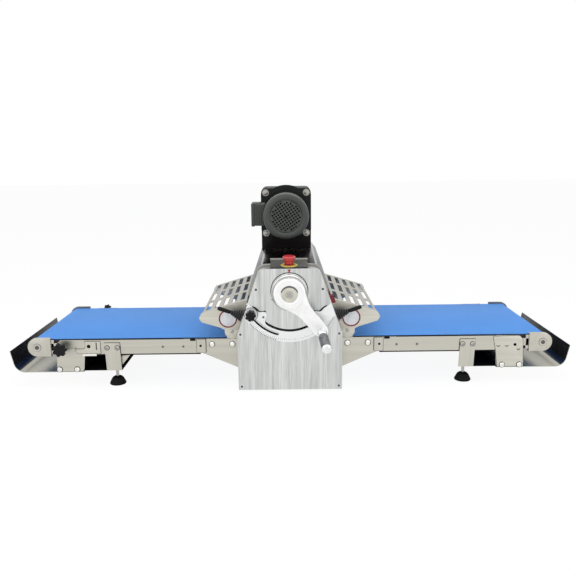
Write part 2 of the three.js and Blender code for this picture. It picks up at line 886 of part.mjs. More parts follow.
function stopButton() {
  const button = turned([
    [0, buttonStemStart],
    [buttonStemRadius, buttonStemStart],
    [buttonStemRadius, buttonUnderHeight],
    [buttonRadius - buttonEdge, buttonUnderHeight],
    [buttonRadius, buttonUnderHeight + 2 * buttonEdge],
    [buttonRadius, buttonTopHeight - 2 * buttonEdge],
    [buttonRadius - buttonEdge, buttonTopHeight],
    [0, buttonTopHeight],
  ]);
  const mesh = named('stop_button', red, button);
  mesh.position.set(0, buttonDepth, deckHeightAt(buttonDepth));
  mesh.rotation.x = deckSlope;
  return mesh;
}

// Motor, fan and gear housing

function finnedOutline() {
  const points = motorFins * 4;
  return Array.from({ length: points }, (_, step) => {
    const fin = Math.floor(step / 4);
    const within = [0, 0, motorFinShare, motorFinShare][step % 4];
    const reach = step % 4 === 1 || step % 4 === 2 ? motorRadius + motorFinHeight : motorRadius;
    const angle = (2 * Math.PI * (fin + within)) / motorFins;
    return [reach * Math.cos(angle), reach * Math.sin(angle)];
  });
}

// A square plate with round corners, and a disc that bulges from its top and bottom
function flangeOutline() {
  const inX = flangeHalfWidth - flangeCorner;
  const inZ = flangeHalfHeight - flangeCorner;
  const quarter = Math.PI / 2;
  const spread = Math.acos(flangeHalfHeight / flangeDiscRadius);
  const upper = [
    ...arc(inX, inZ, flangeCorner, 0, quarter, 4),
    ...arc(0, 0, flangeDiscRadius, quarter - spread, quarter + spread, 8),
    ...arc(-inX, inZ, flangeCorner, quarter, 2 * quarter, 4),
  ];
  return [...upper, ...upper.map(([x, z]) => [-x, -z])];
}

const boxSeat = motorRadius + motorFinHeight;

function motorBody() {
  const body = frontSolid(finnedOutline(), [], motorBellDepth, flangeDepth + flangeThickness / 2);
  const bell = barY(0, 0, motorBellRadius, motorFrontDepth, motorBellDepth + seatGap);
  const flange = frontSolid(flangeOutline(), [], flangeDepth, flangeDepth + flangeThickness);
  const shaft = barY(0, 0, motorShaftRadius, fanFront + seatGap, motorFrontDepth + overrun, smallSides);
  const pad = block(-boxSeat, boxPadDepth - boxSeat, boxFront + boxPadInset, boxBack - boxPadInset,
    -boxPadHalfHeight, boxPadHalfHeight);
  return named('motor', motorGrey, joined(body, bell, flange, shaft, pad));
}

function fanCover() {
  const length = fanCoverBack - fanCoverFront;
  const inner = fanCoverRadius - fanCoverSheet;
  const cup = turned([
    [0, fanGrilleRecess],
    [fanGrilleRadius, fanGrilleRecess],
    [fanGrilleRadius + fanGrilleRecess, 0],
    [fanCoverRadius - fanCoverEdge / 2, 0],
    [fanCoverRadius - fanCoverEdge / 8, fanCoverEdge / 2],
    [fanCoverRadius, fanCoverEdge],
    [fanCoverRadius, length],
    [inner, length],
    [inner, fanCoverEdge],
    [fanGrilleRadius, fanGrilleRecess + fanCoverSheet],
    [0, fanGrilleRecess + fanCoverSheet],
  ]);
  const rimNear = length - fanCoverSheet;
  const rimInner = motorBellRadius + seatGap;
  const rim = turned([
    [rimInner, rimNear],
    [inner + fanCoverSheet / 2, rimNear],
    [inner + fanCoverSheet / 2, length],
    [rimInner, length],
    [rimInner, rimNear],
  ]);
  const mesh = named('fan_cover', motorGrey, joined(cup, rim));
  mesh.position.y = fanCoverFront;
  mesh.rotation.x = -Math.PI / 2;
  return mesh;
}

function motorFan() {
  const back = fanFront + fanHubLength;
  const hub = barY(0, 0, fanHubRadius, fanFront, back, smallSides);
  const blades = Array.from({ length: fanBlades }, (_, index) => (
    block(0, fanRadius, fanFront, back - fanBladeThickness, -fanBladeThickness / 2, fanBladeThickness / 2)
      .rotate([0, (360 * index) / fanBlades, 0])
  ));
  const bore = barY(0, 0, motorShaftRadius + seatGap, fanFront - overrun, back + overrun, smallSides);
  return named('motor_fan', blackPlastic, cutBy(joined(hub, ...blades), bore));
}

function terminalBox() {
  const left = -boxSeat - seatGap - boxReach;
  const middle = (left - boxSeat - seatGap) / 2;
  const outline = roundedRectangle(boxReach / 2, boxHalfHeight, boxCorner).map(([x, z]) => [x + middle, z]);
  return named('terminal_box', motorGrey, frontSolid(outline, [], boxFront, boxBack));
}

function motorGroup() {
  const group = new THREE.Group();
  group.position.set(motorX, 0, motorHeight);
  group.add(motorBody(), fanCover(), motorFan(), terminalBox());
  return group;
}

function gearHousing() {
  const near = flangeDepth + flangeThickness + seatGap;
  const far = rearCasingFront - seatGap;
  const boxOf = (halfWidth, bottom, top, inset) => block(motorX - halfWidth + inset,
    motorX + halfWidth - inset, near + inset, far - inset, bottom, top - inset);
  const wall = gearHousingWall;
  const body = (inset) => joined(
    boxOf(flangeHalfWidth, motorHeight - flangeHalfHeight + inset, motorHeight + flangeHalfHeight, inset),
    boxOf(gearNeckHalfWidth, slantTopHeight - flangeCorner - inset, motorHeight, inset),
  );
  const overCover = frontSolid(headOutline(coverOffset + seatGap, coverSkirtHeight - overrun), [],
    near - overrun, far + overrun);
  return named('gear_housing', darkMetal, cutBy(body(0), overCover, body(wall)));
}

// Guards: a slotted panel between two cheeks that turn on pins in the wall lugs

function cheekOutline() {
  const half = Math.PI;
  return [
    [panelInnerX, panelInnerHeight],
    [panelOuterX, panelOuterHeight],
    [cheekNoseX, cheekNoseHeight],
    [cheekChinX, cheekChinHeight],
    [cheekThroatX, cheekThroatHeight],
    ...arc(hingeX, hingeHeight, earRadius, 0, -half, 12),
  ];
}

function guardPanel() {
  const slope = Math.atan2(panelInnerHeight - panelOuterHeight, panelOuterX - panelInnerX);
  const length = Math.hypot(panelInnerHeight - panelOuterHeight, panelOuterX - panelInnerX);
  const panelFront = guardFront + guardSheet / 2;
  const depth = mirrored(panelFront) - panelFront;
  const columnPitch = (length - 2 * slotEdge - slotWidth) / (slotColumns - 1);
  const slotLength = (depth - 2 * slotEndMargin - (slotRows - 1) * slotBridge) / slotRows;
  const sheetOf = (outline, above) => {
    const geometry = extruded(outline, guardSheet + 2 * above);
    geometry.translate(0, 0, -guardSheet - seatGap - above);
    geometry.rotateY(slope);
    geometry.translate(panelInnerX, panelFront, panelInnerHeight);
    return solidOf(geometry);
  };
  const slots = [];
  for (let column = 0; column < slotColumns; column += 1) {
    for (let row = 0; row < slotRows; row += 1) {
      const left = slotEdge + column * columnPitch;
      const near = slotEndMargin + row * (slotLength + slotBridge);
      slots.push(sheetOf(rectangle(left, left + slotWidth, near, near + slotLength), overrun));
    }
  }
  return cutBy(sheetOf(rectangle(guardSheet, length - guardSheet, 0, depth), 0), ...slots);
}

function guard(name, side) {
  const far = mirrored(guardFront);
  const cheek = (near) => frontSolid(cheekOutline(), [], near, near + guardSheet);
  const pin = (near, end) => barY(hingeX, hingeHeight, hingePinRadius, near, end, smallSides);
  const solid = joined(
    pin(guardFront + guardSheet / 2, -wallSideGap),
    pin(beltWidth + wallSideGap, far - guardSheet / 2),
    cheek(guardFront),
    cheek(far - guardSheet),
    guardPanel(),
  );
  return named(name, steel, side > 0 ? solid : solid.mirror([1, 0, 0]));
}

// Reversing levers in rubber boots, and the guard switch, on the casing's slanted sides

function slantGroup(side, height, depth) {
  const group = new THREE.Group();
  group.position.set(side * slantX(height), depth, height);
  group.rotation.y = side > 0 ? -slantLean : Math.PI + slantLean;
  return group;
}

const quarterY = new THREE.Euler(0, Math.PI / 2, 0);

function bootProfile() {
  const bore = reverseRodRadius + seatGap;
  const outside = [];
  for (let rib = 0; rib < bootRibs; rib += 1) {
    const share = rib / (bootRibs - 1);
    const crest = bootRadius + (bootTipRadius - bootRadius) * share;
    const start = seatGap + bootBaseSlope * bootRadius;
    const pitch = (bootLength - start) / bootRibs;
    outside.push([crest, start + pitch * rib], [crest, start + pitch * (rib + 0.5)]);
    if (rib < bootRibs - 1) {
      outside.push([crest - bootRibDepth, start + pitch * (rib + 0.75)]);
    }
  }
  return [
    [bore, seatGap + bootBaseSlope * bore],
    ...outside,
    [bootTipRadius, bootLength],
    [bore, bootLength],
    [bore, seatGap + bootBaseSlope * bore],
  ];
}

function reverseGroup(word, side) {
  const group = slantGroup(side, reverseHeight, reverseDepth);
  const lever = turned([
    [0, reverseRodStart],
    [reverseRodRadius, reverseRodStart],
    [reverseRodRadius, reverseGripStart],
    [reverseGripRadius, reverseGripStart],
    [reverseGripRadius, reverseLength - reverseGripRadius],
    [reverseGripRadius / 2, reverseLength],
    [0, reverseLength],
  ], smallSides);
  const boot = turned(bootProfile(), smallSides);
  group.add(
    named(`reverse_lever_${word}`, blackPlastic, turnedTo(lever, quarterY)),
    named(`reverse_boot_${word}`, bootBlack, turnedTo(boot, quarterY)),
  );
  return group;
}

function guardSwitch() {
  const group = slantGroup(1, switchHeight, switchDepth);
  const solid = block(seatGap, switchReach, -switchWidth / 2, switchWidth / 2, -switchLength / 2, switchLength / 2);
  group.add(named('guard_switch', red, solid));
  return group;
}

// Tables: arms, rails, beds, belts, yokes, trays, legs and feet

function arm(name, side, near) {
  const outline = [
    [armInnerX, armRootBottom],
    [armRootX, armRootBottom],
    [armTipX, railBottom],
    [armOuterX, railBottom],
    [armOuterX, railTop],
    [armInnerX, railTop],
  ];
  const holes = [circle(headBarX, beltAxis, crossBarSize / 4)];
  return named(name, steel, frontSolid(flipped(outline, side), holes.map((hole) => flipped(hole, side)),
    near, near + armThickness));
}

function railOutline() {
  return [
    [railInnerX, railBottom],
    [hangerInnerX - hangerTaper, railBottom],
    [hangerInnerX, hangerBottom],
    [railOuterX + hangerLean, hangerBottom],
    [railOuterX, hangerTop - hangerCorner],
    [railOuterX - hangerCorner, hangerTop],
    [hangerInnerX, hangerTop],
    [hangerInnerX - hangerTaper, railTop],
    [railInnerX, railTop],
  ];
}

function rail(name, side, front) {
  const near = front ? railFront : mirrored(railFront) - railThickness;
  const halfSlot = adjusterSlotLength / 2;
  const slotX = railOuterX - adjusterSlotInset;
  const slot = rectangle(slotX - halfSlot, slotX + halfSlot,
    beltAxis - adjusterSlotWidth / 2, beltAxis + adjusterSlotWidth / 2);
  const web = frontSolid(railOutline(), [slot], near, near + railThickness);
  const flangeNear = front ? near + railThickness / 2 : near + railThickness / 2 - railFlangeWidth;
  const flangeStart = armOuterX + seatGap;
  const flange = block(flangeStart, hangerInnerX - hangerTaper, flangeNear,
    flangeNear + railFlangeWidth, railBottom, railBottom + railThickness);
  const solid = joined(web, flange);
  return named(name, steel, side > 0 ? solid : solid.mirror([1, 0, 0]));
}

function bed(name, side) {
  const left = innerAxleX + beltRollerRadius + bedEndClearance;
  const right = endAxleX - beltRollerRadius - bedEndClearance;
  const top = beltHeight - beltThickness - runningGap;
  const near = bedSideInset;
  const far = beltWidth - bedSideInset;
  const sheet = block(left, right, near, far, top - bedSheet, top);
  const flanges = [near, far - bedSheet].map((depth) => (
    block(left, right, depth, depth + bedSheet, top - bedFlangeDepth, top - bedSheet / 4)
  ));
  const barTop = top - bedSheet / 2;
  const barBottom = barTop - crossBarDrop - crossBarSize / 2;
  const barInset = bedSideInset + bedSheet / 2;
  const half = crossBarSize / 2;
  const bar = (x, reach) => joined(
    block(x - half, x + half, barInset, beltWidth - barInset, barBottom, barTop),
    block(x - half, x + half, -reach, beltWidth + reach, barBottom, barTop - crossBarStep),
  );
  const toWall = wallSideGap - seatGap;
  const toRail = -railFront - railThickness - seatGap;
  const solid = joined(sheet, ...flanges, bar(headBarX, toWall), ...tableBarXs.map((x) => bar(x, toRail)));
  return named(name, steel, side > 0 ? solid : solid.mirror([1, 0, 0]));
}

function belt(name, side) {
  const loop = (radius) => [
    ...arc(endAxleX, beltAxis, radius, -Math.PI / 2, Math.PI / 2, halfTurnSteps),
    ...arc(innerAxleX, beltAxis, radius, Math.PI / 2, (3 * Math.PI) / 2, halfTurnSteps),
  ];
  const inner = beltRollerRadius + runningGap;
  const outline = flipped(loop(beltRollerRadius + beltThickness), side);
  return named(name, beltBlue, frontSolid(outline, [flipped(loop(inner), side)], 0, beltWidth));
}

function endRoller(name, side) {
  const outline = circle(0, 0, beltRollerRadius, roundSides);
  const bore = circle(0, 0, endAxleRadius + runningGap, roundSides);
  const roller = named(name, brushedSteel, frontSolid(outline, [bore], beltSideGap, beltWidth - beltSideGap));
  roller.position.set(side * endAxleX, 0, beltAxis);
  return roller;
}

function yoke(name, side) {
  const blockOuter = -wallSideGap - yokeThickness;
  const outline = [
    [-yokeLength, -yokeRadius],
    ...arc(0, 0, yokeRadius, -Math.PI / 2, Math.PI / 2, 12),
    [-yokeLength, yokeRadius],
  ];
  const tongueNear = -railFront - railThickness - seatGap;
  const tongueEnd = yokeLength + tongueLength;
  const half = (near, tongueFront) => joined(
    frontSolid(outline, [], near, near + yokeThickness),
    block(-yokeLength - yokeNeckLength, -yokeLength + seatGap, tongueFront, tongueFront + tongueThickness,
      -yokeNeckHeight / 2, yokeNeckHeight / 2),
    block(-tongueEnd, -yokeLength, tongueFront, tongueFront + tongueThickness,
      -tongueHeight / 2, tongueHeight / 2),
  );
  const nearHalf = half(blockOuter, -tongueNear);
  const farHalf = half(mirrored(blockOuter) - yokeThickness, beltWidth + tongueNear - tongueThickness);
  const axle = barY(0, 0, endAxleRadius, blockOuter + yokeThickness / 2,
    mirrored(blockOuter) - yokeThickness / 2, roundSides);
  const solid = joined(nearHalf, farHalf, axle);
  const mesh = named(name, steel, side > 0 ? solid : solid.mirror([1, 0, 0]));
  mesh.position.set(side * endAxleX, 0, beltAxis);
  return mesh;
}

// The tray's outline follows one line, offset inwards by the sheet
function trayLine(inset) {
  const centreZ = trayBottom + trayBendRadius;
  const radius = trayBendRadius - inset;
  const bend = arc(trayFlatEndX, centreZ, radius, -Math.PI / 2, -trayLean, trayBendSteps);
  const [bendX, bendZ] = bend[bend.length - 1];
  const lipX = bendX + (trayLipHeight - bendZ) * Math.tan(trayLean);
  return [
    [trayInnerX + inset, trayInnerWallTop],
    [trayInnerX + inset, trayBottom + inset],
    ...bend,
    [lipX, trayLipHeight],
  ];
}

function tray(name, side) {
  const near = railFront + railThickness + seatGap;
  const outline = [...trayLine(0), ...trayLine(traySheet).reverse()];
  return named(name, steel, frontSolid(flipped(outline, side), [], near, mirrored(near)));
}

function legFrame(name, side) {
  const plateOutline = [
    [legInnerX + legTaper, legTop],
    [legOuterX + legTaper, legTop],
    [legOuterX, legBottom],
    [legInnerX, legBottom],
  ];
  const plate = (near) => frontSolid(plateOutline, [], near, near + legSheet);
  const panNear = legFront + legSheet / 2;
  const panEndX = legInnerX + legSheet;
  const lipX = legInnerX - panLipReach;
  const lip = [[lipX + legSheet, panLipHeight], [lipX, panLipHeight], [legInnerX, legBottom]];
  const panOutline = [
    [panOuterX, legBottom],
    [panOuterX, legBottom + legSheet],
    [panEndX, legBottom + legSheet],
    ...(side < 0 ? lip : [[panEndX, legBottom]]),
  ];
  const pan = frontSolid(panOutline, [], panNear, mirrored(panNear));
  const footX = (legInnerX + legOuterX) / 2;
  const holes = [footInset, mirrored(footInset)].map((depth) => (
    barZ(footX, depth, footStudRadius + runningGap, legBottom - overrun, legBottom + overrun)
  ));
  const farPlate = mirrored(legFront) - legSheet;
  const solid = cutBy(joined(plate(legFront), plate(farPlate), pan), ...holes);
  return named(name, steel, side > 0 ? solid : solid.mirror([1, 0, 0]));
}

function barZ(x, y, radius, bottom, top) {
  const geometry = new THREE.CylinderGeometry(radius, radius, top - bottom, smallSides);
  geometry.rotateX(Math.PI / 2);
  geometry.translate(x, y, (bottom + top) / 2);
  return solidOf(geometry);
}

function foot(name, side, depth) {
  const solid = turned([
    [0, 0],
    [footRadius, 0],
    [footRadius, footRimHeight],
    [footShoulderRadius, footShoulderHeight],
    [footStudRadius, footTopHeight],
    [footStudRadius, footStudTop],
    [0, footStudTop],
  ]);
  const mesh = named(name, bootBlack, solid);
  mesh.position.set((side * (legInnerX + legOuterX)) / 2, depth, 0);
  return mesh;
}

function tensionKnob() {
  const stemFar = railFront - seatGap;
  const stemNear = stemFar - tensionStemLength;
  const knob = joined(
    frontSolid(star(tensionKnobRadius, knobLobes, knobLobeShare), [], stemNear - tensionKnobDepth, stemNear),
    barY(0, 0, tensionStemRadius, stemNear - tensionStemRadius, stemFar, smallSides),
  );
  const mesh = named('tension_knob', blackPlastic, knob);
  mesh.position.set(tensionKnobInset - railOuterX, 0, beltAxis);
  return mesh;
}

// The whole machine

const machine = new THREE.Group();

machine.add(
  headFrame(), headPad(), frontCasing(), frontPlate(), rearCasing(), rearPanel(), topCover(),
  upperRoller(), lowerRoller(), rollerCarriage(), scraper('scraper_left', -1), scraper('scraper_right', 1),
  gapDial(), leverGroup(), indexSector(), stopGroup(),
  controlDeck(), stopButton(), motorGroup(), gearHousing(), guardSwitch(), tensionKnob(),
);

for (const [word, side] of [['left', -1], ['right', 1]]) {
  machine.add(
    guard(`guard_${word}`, side),
    reverseGroup(word, side),
    arm(`arm_${word}_front`, side, armFront),
    arm(`arm_${word}_rear`, side, mirrored(armFront) - armThickness),
    rail(`rail_${word}_front`, side, true),
    rail(`rail_${word}_rear`, side, false),
    bed(`bed_${word}`, side),
    belt(`belt_${word}`, side),
    innerRoller(`inner_roller_${word}`, side),
    endRoller(`end_roller_${word}`, side),
    yoke(`end_yoke_${word}`, side),
    tray(`catch_tray_${word}`, side),
    legFrame(`leg_frame_${word}`, side),
    foot(`foot_${word}_front`, side, footInset),
    foot(`foot_${word}_rear`, side, mirrored(footInset)),
  );
}

// The machine stands with the middle of its depth at Y 0
machine.updateMatrixWorld(true);
const reach = new THREE.Box3().setFromObject(machine, true);
machine.position.y = -(reach.min.y + reach.max.y) / 2;
machine.updateMatrixWorld(true);

export default machine;
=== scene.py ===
"""Looks of a worktop dough sheeter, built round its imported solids.

Lengths are in millimetres and angles in degrees, in the frame of the solids' source: X along the
tables, depth from the belts' front edge to the back, and Z up from the worktop. place() turns a
point of that frame into the row's frame, in metres.
"""

import math

import bmesh
import bpy
from mathutils import Matrix, Vector


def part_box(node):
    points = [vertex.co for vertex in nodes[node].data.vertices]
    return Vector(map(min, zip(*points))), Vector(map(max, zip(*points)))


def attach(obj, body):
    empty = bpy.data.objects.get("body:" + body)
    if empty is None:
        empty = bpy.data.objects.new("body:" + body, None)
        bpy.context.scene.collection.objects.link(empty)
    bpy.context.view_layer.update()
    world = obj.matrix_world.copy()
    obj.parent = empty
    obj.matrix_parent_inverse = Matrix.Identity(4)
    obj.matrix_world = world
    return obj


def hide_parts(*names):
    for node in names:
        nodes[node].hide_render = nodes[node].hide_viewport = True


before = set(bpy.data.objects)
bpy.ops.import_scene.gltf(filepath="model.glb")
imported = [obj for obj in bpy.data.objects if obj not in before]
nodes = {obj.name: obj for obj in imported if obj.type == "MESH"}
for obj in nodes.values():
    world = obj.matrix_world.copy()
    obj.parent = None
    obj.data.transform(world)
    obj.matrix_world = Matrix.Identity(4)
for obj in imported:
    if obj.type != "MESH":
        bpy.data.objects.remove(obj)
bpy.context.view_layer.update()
scene = bpy.context.scene
scene.view_settings.view_transform = "Standard"

MM = 0.001
DEPTH_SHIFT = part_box("belt_left")[0].y
SIDES = (("left", -1), ("right", 1))
FRONT = (0, -1, 0)
BACK = (0, 1, 0)
UPRIGHT = Matrix.Rotation(math.radians(90), 4, "X")


def place(x, depth, z):
    """A point of the source's frame in the row's frame, in metres."""
    return Vector((x * MM, depth * MM + DEPTH_SHIFT, z * MM))


def node_box(name):
    """A node's lowest and highest corner at rest, in the source's frame."""
    shift = Vector((0, DEPTH_SHIFT, 0))
    return [(corner - shift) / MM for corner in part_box(name)]


def node_middle(name):
    low, high = node_box(name)
    return (low + high) / 2.0


# Places read from the solids
BELT_WIDTH = node_box("belt_left")[1].y
BELT_TOP = node_box("belt_left")[1].z
AXLE_Z = node_middle("end_roller_right").z
END_X = node_middle("end_roller_right").x
INNER_X = node_middle("inner_roller_right").x
RAIL_FRONT = node_box("rail_left_front")[0].y
LEG_FRONT = node_box("leg_frame_left")[0].y
ARM_FRONT = node_box("arm_left_front")[0].y
GUARD_FRONT = node_box("guard_left")[0].y
PLATE_FRONT = node_box("front_plate")[0].y
DIAL_Z = node_middle("gap_dial").z
MOTOR_X = node_middle("fan_cover").x
MOTOR_Z = node_middle("fan_cover").z


# Camera

LENS = 40.0
SENSOR = 36.0
CAMERA_AT = (-4.2, -2028.0, 758.7)
CAMERA_PITCH = 12.06
CAMERA_ROLL = -0.65


def add_camera():
    data = bpy.data.cameras.new("camera")
    data.lens = LENS
    data.sensor_width = SENSOR
    camera = bpy.data.objects.new("camera", data)
    scene.collection.objects.link(camera)
    tilt = Matrix.Rotation(math.radians(90 - CAMERA_PITCH), 4, "X")
    roll = Matrix.Rotation(math.radians(CAMERA_ROLL), 4, "Z")
    camera.matrix_world = Matrix.Translation(place(*CAMERA_AT)) @ tilt @ roll
    scene.camera = camera


# Light and surroundings

SOFT_COLOR = (0.97, 0.985, 1.0, 1.0)
SOFT_LEVEL = 0.55
WHITE = (1.0, 1.0, 1.0, 1.0)
FLOOR_COLOR = (0.9, 0.9, 0.9, 1.0)
FLOOR_GLOW_SHARE = 0.9
FLOOR_GLOW_LEVEL = 1.03
FLOOR_HALF_METRES = 14.0
LAMP_TARGET = (0.0, 0.0, 0.25)
LAMPS = (
    ("top_lamp", (0.0, -0.4, 2.6), (3.2, 2.0), 26.0),
    ("left_lamp", (-2.4, -1.8, 1.6), (1.6, 1.6), 17.0),
    ("right_lamp", (2.4, -1.6, 1.4), (1.6, 1.6), 13.0),
)


def new_node(tree, kind, values=(), operation=None):
    """A shader node, with values for some of its inputs and an operation where it has one."""
    node = tree.nodes.new(f"ShaderNode{kind}")
    if operation:
        node.operation = operation
    for name, value in dict(values).items():
        node.inputs[name].default_value = value
    return node


def add_world():
    """White for the camera and for reflections, and a soft even light for everything else."""
    world = bpy.data.worlds.new("studio")
    world.use_nodes = True
    scene.world = world
    tree = world.node_tree
    tree.nodes.clear()
    path = new_node(tree, "LightPath")
    seen = new_node(tree, "Math", operation="MAXIMUM")
    white = new_node(tree, "Math", operation="MAXIMUM")
    soft = new_node(tree, "Background", {"Color": SOFT_COLOR, "Strength": SOFT_LEVEL})
    backdrop = new_node(tree, "Background", {"Color": WHITE})
    mix = new_node(tree, "MixShader")
    for output, socket in (
        (path.outputs["Is Camera Ray"], seen.inputs[0]),
        (path.outputs["Is Transmission Ray"], seen.inputs[1]),
        (seen.outputs[0], white.inputs[0]),
        (path.outputs["Is Glossy Ray"], white.inputs[1]),
        (white.outputs[0], mix.inputs["Fac"]),
        (soft.outputs[0], mix.inputs[1]),
        (backdrop.outputs[0], mix.inputs[2]),
        (mix.outputs[0], new_node(tree, "OutputWorld").inputs["Surface"]),
    ):
        tree.links.new(output, socket)


def add_lamps():
    for name, at, size, watts in LAMPS:
        data = bpy.data.lights.new(name, "AREA")
        data.shape = "RECTANGLE"
        data.size, data.size_y = size
        data.energy = watts
        lamp = bpy.data.objects.new(name, data)
        scene.collection.objects.link(lamp)
        lamp.location = Vector(at)
        lamp.rotation_euler = (Vector(LAMP_TARGET) - Vector(at)).to_track_quat("-Z", "Y").to_euler()


def add_floor():
    """A white floor that glows for the camera and for reflections, and keeps the object's shadow."""
    half = FLOOR_HALF_METRES
    corners = [(-half, -half, 0), (half, -half, 0), (half, half, 0), (-half, half, 0)]
    mesh = bpy.data.meshes.new("floor")
    mesh.from_pydata(corners, [], [(0, 1, 2, 3)])
    floor = bpy.data.objects.new("floor", mesh)
    scene.collection.objects.link(floor)
    material = bpy.data.materials.new("floor_white")
    material.use_nodes = True
    tree = material.node_tree
    tree.nodes.clear()
    path = new_node(tree, "LightPath")
    seen = new_node(tree, "Math", operation="MAXIMUM")
    share = new_node(tree, "Math", {1: FLOOR_GLOW_SHARE}, "MULTIPLY")
    matt = new_node(tree, "BsdfDiffuse", {"Color": FLOOR_COLOR})
    glow = new_node(tree, "Emission", {"Color": WHITE, "Strength": FLOOR_GLOW_LEVEL})
    mix = new_node(tree, "MixShader")
    for output, socket in (
        (path.outputs["Is Camera Ray"], seen.inputs[0]),
        (path.outputs["Is Glossy Ray"], seen.inputs[1]),
        (seen.outputs[0], share.inputs[0]),
        (share.outputs[0], mix.inputs["Fac"]),
        (matt.outputs[0], mix.inputs[1]),
        (glow.outputs[0], mix.inputs[2]),
        (mix.outputs[0], new_node(tree, "OutputMaterial").inputs["Surface"]),
    ):
        tree.links.new(output, socket)
    mesh.materials.append(material)


# Materials

NOISE_LOW, NOISE_HIGH = 0.3, 0.7


def shade(color, factor):
    return tuple(min(1.0, channel * factor) for channel in color)


class Surface:
    """A node material with the few node chains that this scene's finishes share."""

    def __init__(self, name, slot, roughness, metallic):
        self.material = bpy.data.materials.new(name)
        self.material.use_nodes = True
        self.tree = self.material.node_tree
        self.shader = self.tree.nodes["Principled BSDF"]
        self.set("Roughness", roughness)
        self.set("Metallic", metallic)
        self.roughness = roughness
        self.place = new_node(self.tree, "TexCoord").outputs["Object"]
        self.normal = None

    def set(self, name, value):
        self.shader.inputs[name].default_value = value

    def link(self, output, socket):
        self.tree.links.new(output, socket)

    def mapped(self, values):
        node = new_node(self.tree, "Mapping", values)
        self.link(self.place, node.inputs["Vector"])
        return node.outputs["Vector"]

    def noise(self, scale, detail=3.0, roughness=0.55):
        """Noise of one scale, or of its own scale along each axis."""
        node = new_node(self.tree, "TexNoise", {"Scale": 1.0, "Detail": detail, "Roughness": roughness})
        scales = scale if isinstance(scale, tuple) else (scale,) * 3
        self.link(self.mapped({"Scale": scales}), node.inputs["Vector"])
        return node.outputs["Fac"]

    def math(self, operation, first, second):
        node = new_node(self.tree, "Math", operation=operation)
        self.link(first, node.inputs[0])
        if isinstance(second, float):
            node.inputs[1].default_value = second
        else:
            self.link(second, node.inputs[1])
        return node.outputs[0]

    def blend(self, first, second, share):
        """The two values added in the given shares."""
        return self.math("ADD", self.math("MULTIPLY", first, 1.0 - share),
                         self.math("MULTIPLY", second, share))

    def weave(self, bands, values):
        """Sets of bands, each with its coordinates and direction, multiplied into one pattern."""
        pattern = None
        for vector, direction in bands:
            node = new_node(self.tree, "TexWave", values)
            node.bands_direction = direction
            self.link(vector, node.inputs["Vector"])
            wave = node.outputs["Fac"]
            pattern = wave if pattern is None else self.math("MULTIPLY", pattern, wave)
        return pattern

    def tint(self, value, color, dark, light, start=NOISE_LOW, end=NOISE_HIGH):
        """Colours the surface from a dark to a light shade of one colour."""
        node = self.tree.nodes.new("ShaderNodeValToRGB")
        stops = ((start, dark), (end, light))
        for element, (position, factor) in zip(node.color_ramp.elements, stops):
            element.position = position
            element.color = (*shade(color, factor), 1.0)
        self.link(value, node.inputs["Fac"])
        self.link(node.outputs["Color"], self.shader.inputs["Base Color"])

    def vary_roughness(self, value, below, above):
        node = new_node(self.tree, "MapRange", {
            "From Min": NOISE_LOW, "From Max": NOISE_HIGH,
            "To Min": self.roughness - below, "To Max": self.roughness + above,
        })
        self.link(value, node.inputs["Value"])
        self.link(node.outputs["Result"], self.shader.inputs["Roughness"])

    def bump(self, value, strength, distance):
        node = new_node(self.tree, "Bump", {"Strength": strength, "Distance": distance})
        self.link(value, node.inputs["Height"])
        if self.normal is not None:
            self.link(self.normal, node.inputs["Normal"])
        self.normal = node.outputs["Normal"]
        self.link(self.normal, self.shader.inputs["Normal"])


def brushed_metal(name, slot, color, roughness, along, fine=900.0, contrast=0.1, long=6.0, divisor=12.0):
    """Sheet metal brushed along one axis: fine streaks, wide soft clouds and a light grain."""
    surface = Surface(name, slot, roughness, 1.0)
    scale = {"X": (long, fine, fine), "Y": (fine, long, fine), "Z": (fine, fine, long)}[along]
    streaks = surface.noise(scale, 4.0, 0.6)
    clouds = surface.noise(tuple(value / divisor for value in scale))
    surface.tint(surface.blend(streaks, clouds, 0.5), color, 1.0 - contrast, 1.0 + contrast, 0.32, 0.68)
    surface.vary_roughness(streaks, 0.06, 0.08)
    surface.bump(streaks, 0.05, 0.0002)
    return surface.material


def belt_cloth(name, slot, color):
    """Coated belt: a fine woven grain, a faint flour bloom and slow colour drift."""
    surface = Surface(name, slot, 0.62, 0.0)
    bloom = surface.noise(60.0, 5.0, 0.7)
    surface.tint(surface.blend(surface.noise((4.0, 6.0, 4.0)), bloom, 0.3), color, 0.93, 1.05)
    threads = [(surface.place, direction) for direction in ("X", "Y")]
    surface.bump(surface.weave(threads, {"Scale": 260.0, "Distortion": 0.4}), 0.25, 0.0002)
    surface.vary_roughness(bloom, 0.06, 0.08)
    return surface.material


def knurled_metal(name, slot, color, roughness):
    """Turned metal with crossed knurling."""
    surface = Surface(name, slot, roughness, 1.0)
    tone = surface.noise(90.0, 4.0)
    surface.tint(tone, color, 0.6, 1.2)
    surface.vary_roughness(tone, 0.05, 0.08)
    turns = (math.radians(45.0), math.radians(-45.0))
    ridges = [(surface.mapped({"Rotation": (turn, 0.0, turn)}), "X") for turn in turns]
    surface.bump(surface.weave(ridges, {"Scale": 160.0}), 0.5, 0.0006)
    return surface.material


def grained(name, slot, color, roughness, metallic, clouds, shades, spread, grain, bump, gloss=0.5, coat=0.0):
    """Soft clouds of tone and gloss over a fine even grain."""
    surface = Surface(name, slot, roughness, metallic)
    tone = surface.noise(*clouds)
    surface.tint(tone, color, *shades)
    surface.vary_roughness(tone, *spread)
    surface.bump(surface.noise(*grain), *bump)
    surface.set("Coat Weight", coat)
    surface.set("Specular IOR Level", gloss)
    return surface.material


